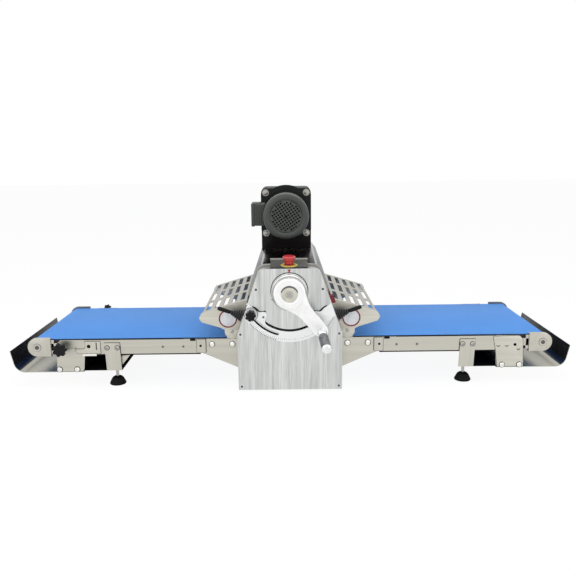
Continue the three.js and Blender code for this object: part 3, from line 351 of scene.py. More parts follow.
def cast_metal(name, slot, color, roughness):
    """Cast and turned metal with a faint cloudy polish."""
    return grained(name, slot, color, roughness, 1.0, (45.0, 5.0, 0.6), (0.93, 1.04), (0.05, 0.07),
                   (1800.0, 2.0), (0.04, 0.0001))


def plastic(name, slot, color, roughness, gloss=0.5, coat=0.0):
    """Moulded plastic, rubber or film: a fine grain and slightly uneven gloss."""
    return grained(name, slot, color, roughness, 0.0, (35.0, 4.0), (0.85, 1.15), (0.06, 0.08),
                   (1400.0, 2.0), (0.15, 0.0002), gloss, coat)


def paint(name, slot, color, roughness, gloss=0.4):
    """Sprayed paint on castings: orange peel over soft patches of tone."""
    return grained(name, slot, color, roughness, 0.0, (18.0, 4.0), (0.88, 1.12), (0.05, 0.08),
                   (420.0, 3.0), (0.2, 0.0004), gloss)


STEEL_COLOR = (0.555, 0.54, 0.475)
BRIGHT_COLOR = (0.60, 0.61, 0.60)

steel_along = brushed_metal("steel_brushed_along", "steel", STEEL_COLOR, 0.4, "X")
steel_upright = brushed_metal("steel_brushed_upright", "steel", STEEL_COLOR, 0.4, "Z")
steel_deep = brushed_metal("steel_brushed_deep", "steel", shade(STEEL_COLOR, 0.85), 0.36, "Y")
guard_steel = brushed_metal("guard_steel", "steel", shade(STEEL_COLOR, 0.8), 0.42, "Y")
cheek_steel = brushed_metal("cheek_steel", "steel", shade(STEEL_COLOR, 1.08), 0.45, "X")
cover_steel = brushed_metal("cover_steel", "steel", (0.42, 0.43, 0.43), 0.3, "Y")
# Painted reflections for the polished hood: grey and dark copies for its flanks, black for its flat top.
cover_reflection_grey = brushed_metal("cover_reflection_grey", "steel", (0.17, 0.18, 0.185), 0.34, "Y", 500.0, 0.3)
cover_reflection_dark = brushed_metal("cover_reflection_dark", "steel", (0.055, 0.06, 0.065), 0.34, "Y", 500.0, 0.4)
cover_reflection_black = brushed_metal("cover_reflection_black", "steel", (0.016, 0.011, 0.010), 0.3, "Y", 300.0, 0.4)
yoke_metal = cast_metal("yoke_metal", "steel", (0.56, 0.54, 0.48), 0.46)
# Painted shade: a dark copy of the yoke metal for the rear end blocks.
yoke_rear_shade = cast_metal("yoke_rear_shade", "steel", (0.11, 0.125, 0.15), 0.42)
steel_bolt = cast_metal("steel_bolt", "steel", (0.42, 0.41, 0.38), 0.3)
bright_bolt = cast_metal("bright_bolt", "steel", (0.86, 0.85, 0.80), 0.22)
# Dark screw heads, and painted shadow round bolts and under the hub's rim.
dark_screw_and_shadow = cast_metal("dark_screw_and_shadow", "steel", (0.13, 0.13, 0.13), 0.35)
# Painted reflections for the trays' insides.
tray_reflection_navy = plastic("tray_reflection_navy", "steel", (0.012, 0.017, 0.04), 0.2, gloss=0.3)
tray_reflection_dark = plastic("tray_reflection_dark", "steel", (0.010, 0.010, 0.011), 0.3, gloss=0.15)
plate_steel = brushed_metal("plate_brushed_upright", "bright_steel", BRIGHT_COLOR, 0.34, "Z",
                            420.0, 0.3, 14.0, 5.0)
cast_bright = cast_metal("cast_bright", "cast_metal", (0.58, 0.585, 0.58), 0.3)
cast_white = cast_metal("cast_white", "cast_metal", (0.93, 0.93, 0.925), 0.42)
plate_satin = brushed_metal("plate_satin", "cast_metal", (0.84, 0.855, 0.855), 0.4, "X", 700.0, 0.04)
chrome = cast_metal("chrome_polished", "chrome", (0.8, 0.81, 0.82), 0.12)
grip_metal = knurled_metal("grip_metal", "chrome", (0.20, 0.20, 0.21), 0.3)
belt_blue = belt_cloth("belt_blue", "belt", (0.078, 0.30, 0.79))
# Painted shade for the belts' front and back sides.
belt_edge_shade = plastic("belt_edge_shade", "belt", (0.006, 0.011, 0.035), 0.5)
rubber = plastic("rubber_black", "rubber", (0.006, 0.006, 0.006), 0.6, gloss=0.12)
boot_rubber = plastic("boot_rubber", "rubber", (0.016, 0.016, 0.017), 0.4, gloss=0.45)
black_plastic = plastic("plastic_black", "black_plastic", (0.009, 0.009, 0.010), 0.45, gloss=0.16)
# Black for engraved marks, and for painted shade in gaps, holes, slots and notches.
mark_and_shade_black = plastic("mark_and_shade_black", "black_plastic", (0.008, 0.008, 0.009), 0.6, gloss=0.1)
motor_paint = paint("motor_paint", "motor_paint", (0.060, 0.066, 0.060), 0.42)
flange_paint = paint("flange_paint", "motor_paint", (0.012, 0.013, 0.013), 0.42, 0.2)
dark_paint = paint("dark_paint", "dark_metal", (0.010, 0.008, 0.008), 0.45, 0.2)
# Painted shade: near-black for the shelves under the belts.
pan_shade_black = paint("pan_shade_black", "dark_metal", (0.002, 0.002, 0.0025), 0.7, 0.05)
red_plastic = plastic("plastic_red", "red_plastic", (0.55, 0.022, 0.028), 0.3, coat=0.4)
deck_paint = paint("deck_paint", "deck", (0.070, 0.070, 0.066), 0.42)
deck_lip = paint("deck_lip", "deck", (0.42, 0.41, 0.37), 0.45)
red_paint = plastic("red_paint", None, (0.4, 0.015, 0.03), 0.4)
red_film = plastic("red_film", None, (0.22, 0.012, 0.02), 0.35)
switch_red = plastic("switch_red", "red_plastic", (0.20, 0.006, 0.014), 0.35)
white_film = plastic("white_film", None, (0.80, 0.81, 0.84), 0.35)
yellow_plastic = plastic("yellow_plastic", None, (0.62, 0.58, 0.10), 0.4)
cream_plastic = plastic("cream_plastic", None, (0.70, 0.68, 0.58), 0.4)

NODE_MATERIALS = {
    steel_along: ["arm_", "rail_", "bed_", "head_frame", "scraper_"],
    steel_upright: ["roller_carriage", "rear_casing"],
    plate_steel: ["front_casing", "rear_panel"],
    chrome: ["upper_roller", "lower_roller", "gap_shaft", "inner_roller_", "end_roller_"],
    rubber: ["head_pad"],
    black_plastic: ["motor_fan"],
    flange_paint: ["motor"],
    switch_red: ["guard_switch"],
}


def dress_nodes():
    """Materials for the nodes that stay; each piece that replaces a node has its own."""
    for material, starts in NODE_MATERIALS.items():
        for name, node in nodes.items():
            if any(name == start or (start.endswith("_") and name.startswith(start)) for start in starts):
                node.data.materials.clear()
                node.data.materials.append(material)


# Building pieces

CURVE_STEPS = 12
FACE_GAP = 0.02


def signed_area(points):
    return sum(a[0] * b[1] - b[0] * a[1] for a, b in zip(points, points[1:] + points[:1])) / 2.0


def wound(points, positive):
    return points if (signed_area(points) > 0) == positive else points[::-1]


def mesh_piece(name, mesh, material, body="machine", replaced=(), smooth=35.0):
    """A piece of one material that rides on a body and may stand for nodes."""
    mesh.name = name
    piece = bpy.data.objects.new(name, mesh)
    scene.collection.objects.link(piece)
    mesh.materials.clear()
    mesh.materials.append(material)
    mesh.shade_smooth()
    mesh.set_sharp_from_angle(angle=math.radians(smooth))
    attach(piece, body)
    if replaced:
        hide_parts(*replaced)


def flat_mesh(outline, holes, thickness, bevel, grow=0.0):
    """A flat plate with holes and rounded edges, in its own X and Y, with its thickness along Z."""
    data = bpy.data.curves.new("flat", "CURVE")
    data.dimensions = "2D"
    data.fill_mode = "BOTH"
    data.extrude = (thickness / 2.0 - bevel) * MM
    data.bevel_depth = bevel * MM
    data.bevel_resolution = 1
    data.offset = (grow - bevel) * MM
    for index, points in enumerate([outline, *holes]):
        spline = data.splines.new("POLY")
        points = wound(list(points), index == 0)
        spline.points.add(len(points) - 1)
        for point, (x, y) in zip(spline.points, points):
            point.co = (x * MM, y * MM, 0.0, 1.0)
        spline.use_cyclic_u = True
    holder = bpy.data.objects.new("flat", data)
    scene.collection.objects.link(holder)
    graph = bpy.context.evaluated_depsgraph_get()
    mesh = bpy.data.meshes.new_from_object(holder.evaluated_get(graph))
    bpy.data.objects.remove(holder)
    bpy.data.curves.remove(data)
    merge_close(mesh)
    return mesh


def merge_close(mesh):
    editable = bmesh.new()
    editable.from_mesh(mesh)
    bmesh.ops.remove_doubles(editable, verts=editable.verts, dist=1e-6)
    bmesh.ops.recalc_face_normals(editable, faces=editable.faces)
    editable.to_mesh(mesh)
    editable.free()


def plate_mesh(outline, holes, near, far, bevel, grow=0.0):
    """A plate whose outline is in X and Z, between two depths."""
    mesh = flat_mesh(outline, holes, far - near, bevel, grow)
    mesh.transform(Matrix.Translation(place(0, (near + far) / 2.0, 0)) @ UPRIGHT)
    return mesh


def turned_mesh(profile, sides=64):
    """A turned piece about Z; the profile is radius and height, and points on the axis are shared."""
    editable = bmesh.new()
    rings = []
    for radius, height in profile:
        if radius <= 0:
            rings.append([editable.verts.new((0.0, 0.0, height * MM))])
            continue
        rings.append([
            editable.verts.new((
                radius * MM * math.cos(2 * math.pi * step / sides),
                radius * MM * math.sin(2 * math.pi * step / sides),
                height * MM,
            ))
            for step in range(sides)
        ])
    for lower, upper in zip(rings, rings[1:]):
        for step in range(sides):
            after = (step + 1) % sides
            corners = [lower[step % len(lower)], lower[after % len(lower)],
                       upper[after % len(upper)], upper[step % len(upper)]]
            unique = list(dict.fromkeys(corners))
            if len(unique) >= 3:
                editable.faces.new(unique)
    bmesh.ops.remove_doubles(editable, verts=editable.verts, dist=1e-7)
    bmesh.ops.recalc_face_normals(editable, faces=editable.faces)
    mesh = bpy.data.meshes.new("turned")
    editable.to_mesh(mesh)
    editable.free()
    return mesh


def pin_mesh(radius, length, sides):
    return turned_mesh([(0.0, 0.0), (radius, 0.0), (radius, length), (0.0, length)], sides)


def facing(mesh, x, depth, z, normal=FRONT):
    """The mesh with its Z 0 set on a face at a place, and its Z turned to the way that the face looks."""
    turn = Vector(normal).to_track_quat("Z", "Y").to_matrix().to_4x4()
    mesh.transform(Matrix.Translation(place(x, depth, z)) @ turn)
    return mesh


def curve_points(start, corner, end, steps):
    """Points from start to end along a soft bend that is drawn towards the corner."""
    return [
        tuple((1 - t) ** 2 * s + 2 * t * (1 - t) * c + t * t * e for s, c, e in zip(start, corner, end))
        for t in (step / steps for step in range(steps + 1))
    ]


def rounded_profile(points, radius, steps):
    """The same profile with the corners between its two ends rounded."""
    result = [points[0]]
    for before, corner, after in zip(points, points[1:], points[2:]):
        back = min(radius, 0.45 * math.dist(before, corner))
        ahead = min(radius, 0.45 * math.dist(corner, after))
        start = [c + (b - c) * back / math.dist(before, corner) for b, c in zip(before, corner)]
        end = [c + (a - c) * ahead / math.dist(corner, after) for a, c in zip(after, corner)]
        result += curve_points(start, corner, end, steps)
    return [*result, points[-1]]


def soft_turned(profile, rounding, sides, steps=3):
    """A turned piece whose profile has rounded corners."""
    return turned_mesh(rounded_profile(profile, rounding, steps), sides)


def box_mesh(low, high, bevel):
    """A bevelled block between two corners, in millimetres about its own origin."""
    editable = bmesh.new()
    bmesh.ops.create_cube(editable, size=1.0)
    size = [h - l for l, h in zip(low, high)]
    for vert in editable.verts:
        vert.co = Vector([(l + (c + 0.5) * s) * MM for l, c, s in zip(low, vert.co, size)])
    bmesh.ops.bevel(editable, geom=editable.edges[:], offset=bevel * MM, segments=3, profile=0.6,
                    affect="EDGES")
    mesh = bpy.data.meshes.new("box")
    editable.to_mesh(mesh)
    editable.free()
    return mesh


def block_mesh(low, high, bevel):
    """A bevelled block between two corners of the source's frame, in either order along X."""
    left, right = sorted((low[0], high[0]))
    mesh = box_mesh((left, *low[1:]), (right, *high[1:]), bevel)
    mesh.transform(Matrix.Translation(place(0, 0, 0)))
    return mesh


def join_meshes(meshes):
    editable = bmesh.new()
    for mesh in meshes:
        editable.from_mesh(mesh)
        bpy.data.meshes.remove(mesh)
    joined = bpy.data.meshes.new("joined")
    editable.to_mesh(joined)
    editable.free()
    return joined


def arc_points(x, z, radius, start, end, steps):
    return [
        (x + radius * math.cos(math.radians(start + (end - start) * step / steps)),
         z + radius * math.sin(math.radians(start + (end - start) * step / steps)))
        for step in range(steps + 1)
    ]


def ring_points(x, z, radius, steps=32):
    return arc_points(x, z, radius, 0.0, 360.0, steps)[:-1]


def rounded_polygon(points, radii, steps=6):
    """A polygon with each corner rounded by its own radius."""
    result = []
    for index, corner in enumerate(points):
        radius = radii[index] if isinstance(radii, (list, tuple)) else radii
        before = Vector(points[index - 1]) - Vector(corner)
        after = Vector(points[(index + 1) % len(points)]) - Vector(corner)
        if radius <= 0:
            result.append(tuple(corner))
            continue
        half = before.angle(after) / 2.0
        back = min(radius / math.tan(half), 0.48 * before.length, 0.48 * after.length)
        start = Vector(corner) + before.normalized() * back
        end = Vector(corner) + after.normalized() * back
        result += curve_points(start, corner, end, steps)
    return result


def rounded_box(left, right, bottom, top, radius):
    return rounded_polygon([(left, bottom), (right, bottom), (right, top), (left, top)], radius)


def dial_slot(radius, half_width, start, end, steps=40):
    """A slot along an arc about the dial, with round ends."""
    def at(angle):
        return radius * math.cos(math.radians(angle)), DIAL_Z + radius * math.sin(math.radians(angle))
    outer = arc_points(0, DIAL_Z, radius + half_width, start, end, steps)
    far_end = arc_points(*at(end), half_width, end, end + 180.0, 8)[1:-1]
    inner = arc_points(0, DIAL_Z, radius - half_width, end, start, steps)
    near_end = arc_points(*at(start), half_width, start + 180.0, start + 360.0, 8)[1:-1]
    return outer + far_end + inner + near_end


def shadow_outline(name, outlines, face, width=1.3):
    """A thin black line of painted shadow round an overlaid plate's edge, at the front and at the back."""
    meshes = [plate_mesh(list(outline), [], near, far, 0.03, width)
              for outline in outlines for near, far in both_depths(face - 0.15, face - FACE_GAP)]
    mesh_piece(name, join_meshes(meshes), mark_and_shade_black)


def mirrored_x(points):
    return [(-x, z) for x, z in points]


def on_side(points, side):
    return [(side * x, z) for x, z in points]


def both_depths(near, far):
    """The same two depths at the front and, mirrored, at the back."""
    return ((near, far), (BELT_WIDTH - far, BELT_WIDTH - near))


# Screws, bolts and holes

def screw_mesh(radius, height, kind):
    """A screw head on Z 0: kind is "button" with a hex socket, or "hex" for a hexagon bolt."""
    if kind == "hex":
        mesh = flat_mesh(arc_points(0, 0, radius, 30.0, 390.0, 6)[:-1], [], height, height * 0.12)
        mesh.transform(Matrix.Translation((0, 0, height * MM / 2.0)))
        return mesh
    socket = radius * 0.45
    profile = [(0.0, height * 0.35), (socket, height * 0.35), (socket, height), (radius * 0.7, height),
               (radius * 0.95, height * 0.55), (radius, 0.0), (0.0, 0.0)]
    return turned_mesh(profile, 24)


def screws(name, places, radius, height, kind, material, body="machine"):
    """Screw heads as one piece; each place is x, depth, z and the way the head faces."""
    meshes = [facing(screw_mesh(radius, height, kind), *point, normal) for point, normal in places]
    mesh_piece(name, join_meshes(meshes), material, body)


def rings(name, places, inner, outer, height, material, body="machine"):
    """Flat washers, or discs where the inner radius is 0."""
    profile = [(inner, 0.0), (outer, 0.0), (outer, height), (inner, height)]
    if inner > 0:
        profile.append((inner, 0.0))
    meshes = [facing(turned_mesh(profile, 40), *point, normal) for point, normal in places]
    mesh_piece(name, join_meshes(meshes), material, body)


def front_and_back(points, front):
    """Each x and z as a place at a front depth, and mirrored at the back."""
    return ([((x, front, z), FRONT) for x, z in points]
            + [((x, BELT_WIDTH - front, z), BACK) for x, z in points])


def seated_screws(stem, word, points, face, seat, head, seat_look, head_look):
    """Button screws on seat rings, each with a radius and a height, at the front and mirrored at the back; a
    dark seat ring is painted shadow round its head.
    """
    rings(f"{stem}_seats_{word}", front_and_back(points, face), 0.0, *seat, seat_look)
    on_seats = front_and_back(points, face - seat[1])
    screws(f"{stem}s_{word}", on_seats, *head, "button", head_look)


# Head plate, sector and marks

HEAD_BOTTOM = node_box("front_plate")[0].z
HEAD_TOP = node_box("front_plate")[1].z
SHOULDER = (167.0, 192.0)
SLANT_TOP = (99.0, 388.0)
FLAT_HALF_WIDTH = 59.0
PLATE_THICKNESS = 4.0
PLATE_SLOT = (127.3, 3.1, 230.5, 322.0)
PLATE_SCREWS = ((104.7, 336.3), (157.0, 191.3), (156.4, 16.8))
SCALE_PIN = (-55.0, 304.0)
DIAL_SHADOW_RADII = (57.3, 59.6)
SHADOW_DEPTH = 0.25
POINTER = ((-5.0, 399.6), (5.0, 399.6), (0.0, 386.6))

SECTOR_FRONT, SECTOR_BACK = (node_box("index_sector")[end].y for end in (0, 1))
SECTOR_RADIUS = 165.0
SECTOR_START = 196.5
MIRROR_SUM = 540.0
SECTOR_INNER = [
    (197.0, 134.0), (200.0, 131.0), (203.0, 127.0), (206.5, 122.0), (210.5, 119.5), (214.0, 117.5),
    (216.5, 111.0), (218.5, 104.5), (221.0, 102.0), (225.5, 102.0), (227.5, 107.0), (229.5, 116.0),
    (231.5, 125.0), (235.0, 130.0),
]
SECTOR_MIDDLE_RADIUS = 130.6
SECTOR_SHADOW_WIDTH = 4.4
SECTOR_SHADOW_START, SECTOR_SHADOW_END = 202.0, 222.0
SECTOR_EDGE_GAP = 1.5
SECTOR_SCREWS = ((225.0, 117.0), (315.0, 117.0))
STOP_RADIUS = 142.0
STOP_ANGLE = 211.0
STOP_SLOT = (STOP_RADIUS, 5.5, 208.0, 254.0)
STOP_SLOT_SHADE = (146.0, 3.3, 206.0, 254.5)
TOOTH_PITCH = 1.85
TOOTH_DEPTH = 4.4
TOOTH_RANGES = ((217.0, 254.0), (312.0, 328.0))
MARK_COUNT = 45
MARK_START, MARK_PITCH = 216.0, 2.4
MARK_RADIUS = 159.0


def head_side(offset, start):
    """The head's right outline from a start height over its rounded shoulder to the flat top."""
    slope = (Vector(SLANT_TOP) - Vector(SHOULDER)).normalized()
    outward = Vector((slope.y, -slope.x))
    base = Vector(SHOULDER) + outward * offset
    top = HEAD_TOP + offset

    def on_slant(z):
        return Vector((base.x + (z - base.y) * slope.x / slope.y, z))
    corner = on_slant(top)
    plain_corner_x = SHOULDER[0] + (HEAD_TOP - SHOULDER[1]) * slope.x / slope.y
    start_curve = corner - slope * math.dist(SLANT_TOP, (plain_corner_x, HEAD_TOP))
    end_curve = Vector((corner.x - plain_corner_x + FLAT_HALF_WIDTH, corner.y))
    curve = curve_points(start_curve, corner, end_curve, CURVE_STEPS)
    side_x = SHOULDER[0] + offset
    shoulder_z = base.y + (base.x - side_x) * slope.y / -slope.x
    if start > shoulder_z:
        return [tuple(on_slant(start)), *curve]
    return [(side_x, start), (side_x, shoulder_z), *curve]


def head_outline(offset, start):
    right = head_side(offset, start)
    return right + mirrored_x(right)[::-1]


def add_front_plate():
    """The brushed plate with its slot and screws, and a ring of painted shadow round the dial."""
    mesh = plate_mesh(head_outline(0.0, HEAD_BOTTOM), [dial_slot(*PLATE_SLOT)],
                      PLATE_FRONT, PLATE_FRONT + PLATE_THICKNESS, 0.8)
    mesh_piece("front_plate_sheet", mesh, plate_steel, "machine", ["front_plate"])
    places = [((sign * x, PLATE_FRONT, z), FRONT) for x, z in PLATE_SCREWS for sign in (-1, 1)]
    screws("front_plate_screws", places, 4.2, 2.4, "button", dark_screw_and_shadow)
    rings("front_plate_screw_seats", places, 4.3, 5.6, 0.5, chrome)
    screws("scale_pin", [((SCALE_PIN[0], PLATE_FRONT, SCALE_PIN[1]), FRONT)], 1.8, 1.2, "button", dark_screw_and_shadow)
    # Painted shadow: a thin black ring on the plate round the dial.
    inner, outer = DIAL_SHADOW_RADII
    rings("dial_shadow_ring", [((0, PLATE_FRONT, DIAL_Z), FRONT)], inner, outer, SHADOW_DEPTH, mark_and_shade_black)


def smooth_points(points, steps=4):
    """More points along the same curve, by the Catmull-Rom rule."""
    padded = [points[0], *points, points[-1]]
    result = []
    for a, b, c, d in zip(padded, padded[1:], padded[2:], padded[3:]):
        for step in range(steps):
            t = step / steps
            result.append(tuple(
                0.5 * (2 * q + (r - p) * t + (2 * p - 5 * q + 4 * r - s) * t * t
                       + (3 * q - p - 3 * r + s) * t ** 3)
                for p, q, r, s in zip(a, b, c, d)
            ))
    return [*result, points[-1]]


def polar(points):
    return [(radius * math.cos(math.radians(angle)), DIAL_Z + radius * math.sin(math.radians(angle)))
            for angle, radius in points]


def inside_plate(points):
    """The points with those past the plate's sloping sides moved onto them."""
    lean = (SHOULDER[0] - SLANT_TOP[0]) / (SLANT_TOP[1] - SHOULDER[1])
    limits = [SHOULDER[0] - SECTOR_EDGE_GAP - max(0.0, z - SHOULDER[1]) * lean for _, z in points]
    return [(max(-limit, min(limit, x)), z) for (x, z), limit in zip(points, limits)]


def tooth_shadows():
    """Painted shade: dark strips behind the teeth, in each range of them."""
    shade_strips = []
    for start, end in TOOTH_RANGES:
        outer = [(start + (end - start) * step / 12.0, SECTOR_RADIUS + 0.4) for step in range(13)]
        inner = [(angle, SECTOR_RADIUS - TOOTH_DEPTH - 0.6) for angle, _ in outer][::-1]
        shade_strips.append(inside_plate(polar(outer + inner)))
    return shade_strips


def add_index_sector():
    """The toothed sector under the dial, its wavy inner edge, and black bands of painted shadow along that
    edge, in the stop's slot and behind the teeth.
    """
    left = smooth_points(SECTOR_INNER)
    right = [(MIRROR_SUM - angle, radius) for angle, radius in left][::-1]
    middle_start = SECTOR_INNER[-1][0] + 4.0
    middle_span = MIRROR_SUM - 2 * middle_start
    middle = [(middle_start + middle_span * step / 20.0, SECTOR_MIDDLE_RADIUS) for step in range(21)]
    edge = []
    angle = SECTOR_START
    while angle < MIRROR_SUM - SECTOR_START:
        toothed = any(start < angle < end for start, end in TOOTH_RANGES)
        edge += [(angle, SECTOR_RADIUS), (angle + TOOTH_PITCH * 0.5, SECTOR_RADIUS)]
        if toothed:
            edge += [(angle + TOOTH_PITCH * 0.6, SECTOR_RADIUS - TOOTH_DEPTH),
                     (angle + TOOTH_PITCH * 0.9, SECTOR_RADIUS - TOOTH_DEPTH)]
        angle += TOOTH_PITCH
    outline = inside_plate(polar(edge + (left + middle + right)[::-1]))
    mesh = plate_mesh(outline, [dial_slot(*STOP_SLOT)], SECTOR_FRONT, SECTOR_BACK, 0.6)
    mesh_piece("sector_plate", mesh, plate_satin, "machine", ["index_sector"])
    places = [((x, SECTOR_FRONT, z), FRONT) for x, z in polar(SECTOR_SCREWS)]
    screws("sector_screws", places, 3.6, 1.8, "button", dark_screw_and_shadow)
    # Painted shadow: black bands on the plate along the wavy edge, in the stop's slot and behind the teeth.
    wave = [point for point in left if SECTOR_SHADOW_START <= point[0] <= SECTOR_SHADOW_END]
    back = [(angle, radius - SECTOR_SHADOW_WIDTH) for angle, radius in wave][::-1]
    wave_shadow = polar(wave + back)
    shadow_bands = [plate_mesh(points, [], PLATE_FRONT - SHADOW_DEPTH, PLATE_FRONT - FACE_GAP, 0.05)
            for points in (wave_shadow, mirrored_x(wave_shadow), dial_slot(*STOP_SLOT_SHADE), *tooth_shadows())]
    mesh_piece("sector_shadows", join_meshes(shadow_bands), mark_and_shade_black)


def add_index_marks():
    """Short engraved lines of the thickness scale along the sector's edge."""
    meshes = []
    for step in range(MARK_COUNT):
        length = 7.0 if step % 5 == 0 else 4.0
        mark = box_mesh((MARK_RADIUS - length, -0.15, -0.35), (MARK_RADIUS, 0.0, 0.35), 0.05)
        turn = Matrix.Rotation(math.radians(-MARK_START - MARK_PITCH * step), 4, "Y")
        mark.transform(Matrix.Translation(place(0, SECTOR_FRONT - FACE_GAP, DIAL_Z)) @ turn)
        meshes.append(mark)
    mesh_piece("index_marks", join_meshes(meshes), mark_and_shade_black)


def add_pointer():
    """A small red pointer near the top of the plate."""
    mesh = plate_mesh(list(POINTER), [], PLATE_FRONT - 0.8, PLATE_FRONT, 0.15)
    mesh_piece("pointer", mesh, red_paint)


# Dial, lever and grip

DIAL_BACK = node_box("gap_dial")[1].y
HUB_BACK = node_box("gap_lever")[1].y
HUB_RADIUS = 49.0
HUB_DEPTH = 22.0
HUB_BORE = 9.4
HUB_RECESS = 17.0
LEVER_REACH = 153.0
LEVER_ROOT, LEVER_END = 25.0, 21.0
LEVER_THICKNESS = 12.0
LEVER_FACE = 20.0
LEVER_BLEND_ANGLE = 62.0
LEVER_BLEND_X = 84.0
LEVER_BLEND_CORNER_X = 40.0
REST_ANGLE = 50.0
REST_TURN = Matrix.Rotation(math.radians(REST_ANGLE), 4, "Y")
GRIP_STUB = 12.3
GRIP_LENGTH = 79.4
GRIP_LEAN = 22.7
GRIP_SPLAY = 9.5
GRIP_COLLAR = 13.0
GRIP_TIP = 12.0


def add_dial():
    """The grooved boss behind the lever."""
    dial = soft_turned([
        (9.6, 0.0), (57.0, 0.0), (57.0, 5.0), (55.0, 7.0), (55.0, 22.0), (57.0, 24.0), (57.0, 28.0),
        (53.5, 31.7), (9.6, 31.7), (9.6, 0.0),
    ], 1.2, 96)
    mesh_piece("dial_boss", facing(dial, 0, DIAL_BACK, DIAL_Z), cast_bright, "machine", ["gap_dial"])
    rings("dial_groove", [((0, DIAL_BACK - 31.72, DIAL_Z), FRONT)], 51.4, 52.6, 0.15, dark_screw_and_shadow)


def lever_outline():
    """A round hub that runs in a soft curve into a tapered arm with a round end."""
    def edge(x):
        return LEVER_ROOT + (LEVER_END - LEVER_ROOT) * x / LEVER_REACH
    angle = math.radians(LEVER_BLEND_ANGLE)
    hub = arc_points(0, 0, HUB_RADIUS, LEVER_BLEND_ANGLE, 360.0 - LEVER_BLEND_ANGLE, 48)
    start = Vector((HUB_RADIUS * math.cos(angle), HUB_RADIUS * math.sin(angle)))
    tangent = Vector((math.sin(angle), -math.cos(angle)))
    corner = start + tangent * (start.y - edge(LEVER_BLEND_CORNER_X)) / -tangent.y
    finish = Vector((LEVER_BLEND_X, edge(LEVER_BLEND_X)))
    upper = curve_points(start, corner, finish, CURVE_STEPS)
    lower = [(x, -y) for x, y in upper]
    tip = arc_points(LEVER_REACH, 0, LEVER_END, -90.0, 90.0, 24)
    return hub[:-1] + lower + tip + upper[::-1][:-1]


def add_lever():
    """The cast hub and arm, turned to the rest angle."""
    arm = flat_mesh(lever_outline(), [], LEVER_THICKNESS, 2.6)
    arm.transform(Matrix.Translation((0, 0, (LEVER_FACE - LEVER_THICKNESS / 2.0) * MM)))
    hub = soft_turned([
        (HUB_BORE, 0.0), (HUB_RADIUS, 0.0), (HUB_RADIUS, 19.0), (45.5, HUB_DEPTH), (28.0, HUB_DEPTH),
        (27.0, HUB_RECESS), (HUB_BORE, HUB_RECESS), (HUB_BORE, 0.0),
    ], 1.5, 96)
    lever = join_meshes([arm, hub])
    lever.transform(Matrix.Translation(place(0, HUB_BACK, DIAL_Z)) @ REST_TURN @ UPRIGHT)
    mesh_piece("lever_casting", lever, cast_white, "gap_lever", ["gap_lever"])


def add_hub_disc():
    """A pale disc and bolt in the hub, with a dark crescent for the shadow under the hub's rim."""
    disc = soft_turned([
        (0.0, 0.0), (25.5, 0.0), (25.5, 3.6), (13.0, 4.4), (12.0, 3.2), (0.0, 3.2),
    ], 0.8, 64)
    mesh_piece("hub_disc", facing(disc, 0, HUB_BACK - HUB_RECESS, DIAL_Z), cream_plastic, "gap_lever")
    screws("hub_bolt", [((0, HUB_BACK - 20.2, DIAL_Z), FRONT)], 8.0, 1.7, "hex", steel_bolt, "gap_lever")
    face = HUB_BACK - 20.6
    rings("hub_bolt_ring", [((0, face + 0.3, DIAL_Z), FRONT)], 10.4, 12.2, 0.4, steel_bolt, "gap_lever")
    outer = arc_points(0, DIAL_Z, 27.2, 15.0, 165.0, 32)
    inner = arc_points(0, DIAL_Z - 4.0, 25.8, 165.0, 15.0, 32)
    shadow = plate_mesh(outer + inner[1:-1], [], face - 0.3, face - 0.1, 0.05)
    mesh_piece("hub_shadow", shadow, dark_screw_and_shadow, "gap_lever")


def add_grip():
    """A knurled grip between a bright collar and a bright rounded end."""
    lean = Matrix.Rotation(math.radians(GRIP_LEAN), 4, "Z")
    splay = Matrix.Rotation(math.radians(GRIP_SPLAY), 4, "X")
    seat = Matrix.Translation(place(0, HUB_BACK - LEVER_FACE, DIAL_Z))
    matrix = seat @ REST_TURN @ Matrix.Translation((LEVER_REACH * MM, 0, 0)) @ splay @ lean @ UPRIGHT
    end = GRIP_STUB + GRIP_LENGTH
    collar_end = GRIP_STUB + GRIP_COLLAR
    tip_start = end - GRIP_TIP
    body = soft_turned([
        (0.0, collar_end - 1.0), (13.8, collar_end - 1.0), (15.2, collar_end + 1.5), (15.2, tip_start - 1.5),
        (13.8, tip_start + 1.0), (0.0, tip_start + 1.0),
    ], 1.0, 64)
    body.transform(matrix)
    mesh_piece("grip_knurl", body, grip_metal, "gap_lever", ["lever_grip"])
    collar = soft_turned([
        (0.0, -6.0), (11.0, -6.0), (11.0, GRIP_STUB), (15.4, GRIP_STUB), (15.9, GRIP_STUB + 2.0),
        (15.9, collar_end - 1.5), (13.6, collar_end), (0.0, collar_end),
    ], 0.9, 64)
    tip = soft_turned([
        (0.0, tip_start), (13.6, tip_start), (15.9, tip_start + 1.5), (15.9, end - 6.0), (13.2, end - 2.0),
        (7.0, end), (0.0, end),
    ], 0.9, 64)
    ends = join_meshes([collar, tip])
    ends.transform(matrix)
    mesh_piece("grip_ends", ends, chrome, "gap_lever", ["lever_grip"])


# Knobs

KNOB_LOBES = 7
KNOB_LOBE_SHARE = 0.11
TENSION_X = node_middle("tension_knob").x
REAR_KNOB = (-722.0, 157.0)
STOP_KNOB_SIZES = (17.0, 27.0, 11.0, 7.0)
TENSION_KNOB_SIZES = (23.0, 26.0, 14.0, 8.0)
REAR_KNOB_SIZES = (15.0, 20.0, 9.0, 6.0)


def star_points(radius, steps=96):
    points = []
    for step in range(steps):
        angle = 2 * math.pi * step / steps
        reach = radius * (1 - KNOB_LOBE_SHARE + KNOB_LOBE_SHARE * math.cos(KNOB_LOBES * angle))
        points.append((reach * math.cos(angle), reach * math.sin(angle)))
    return points


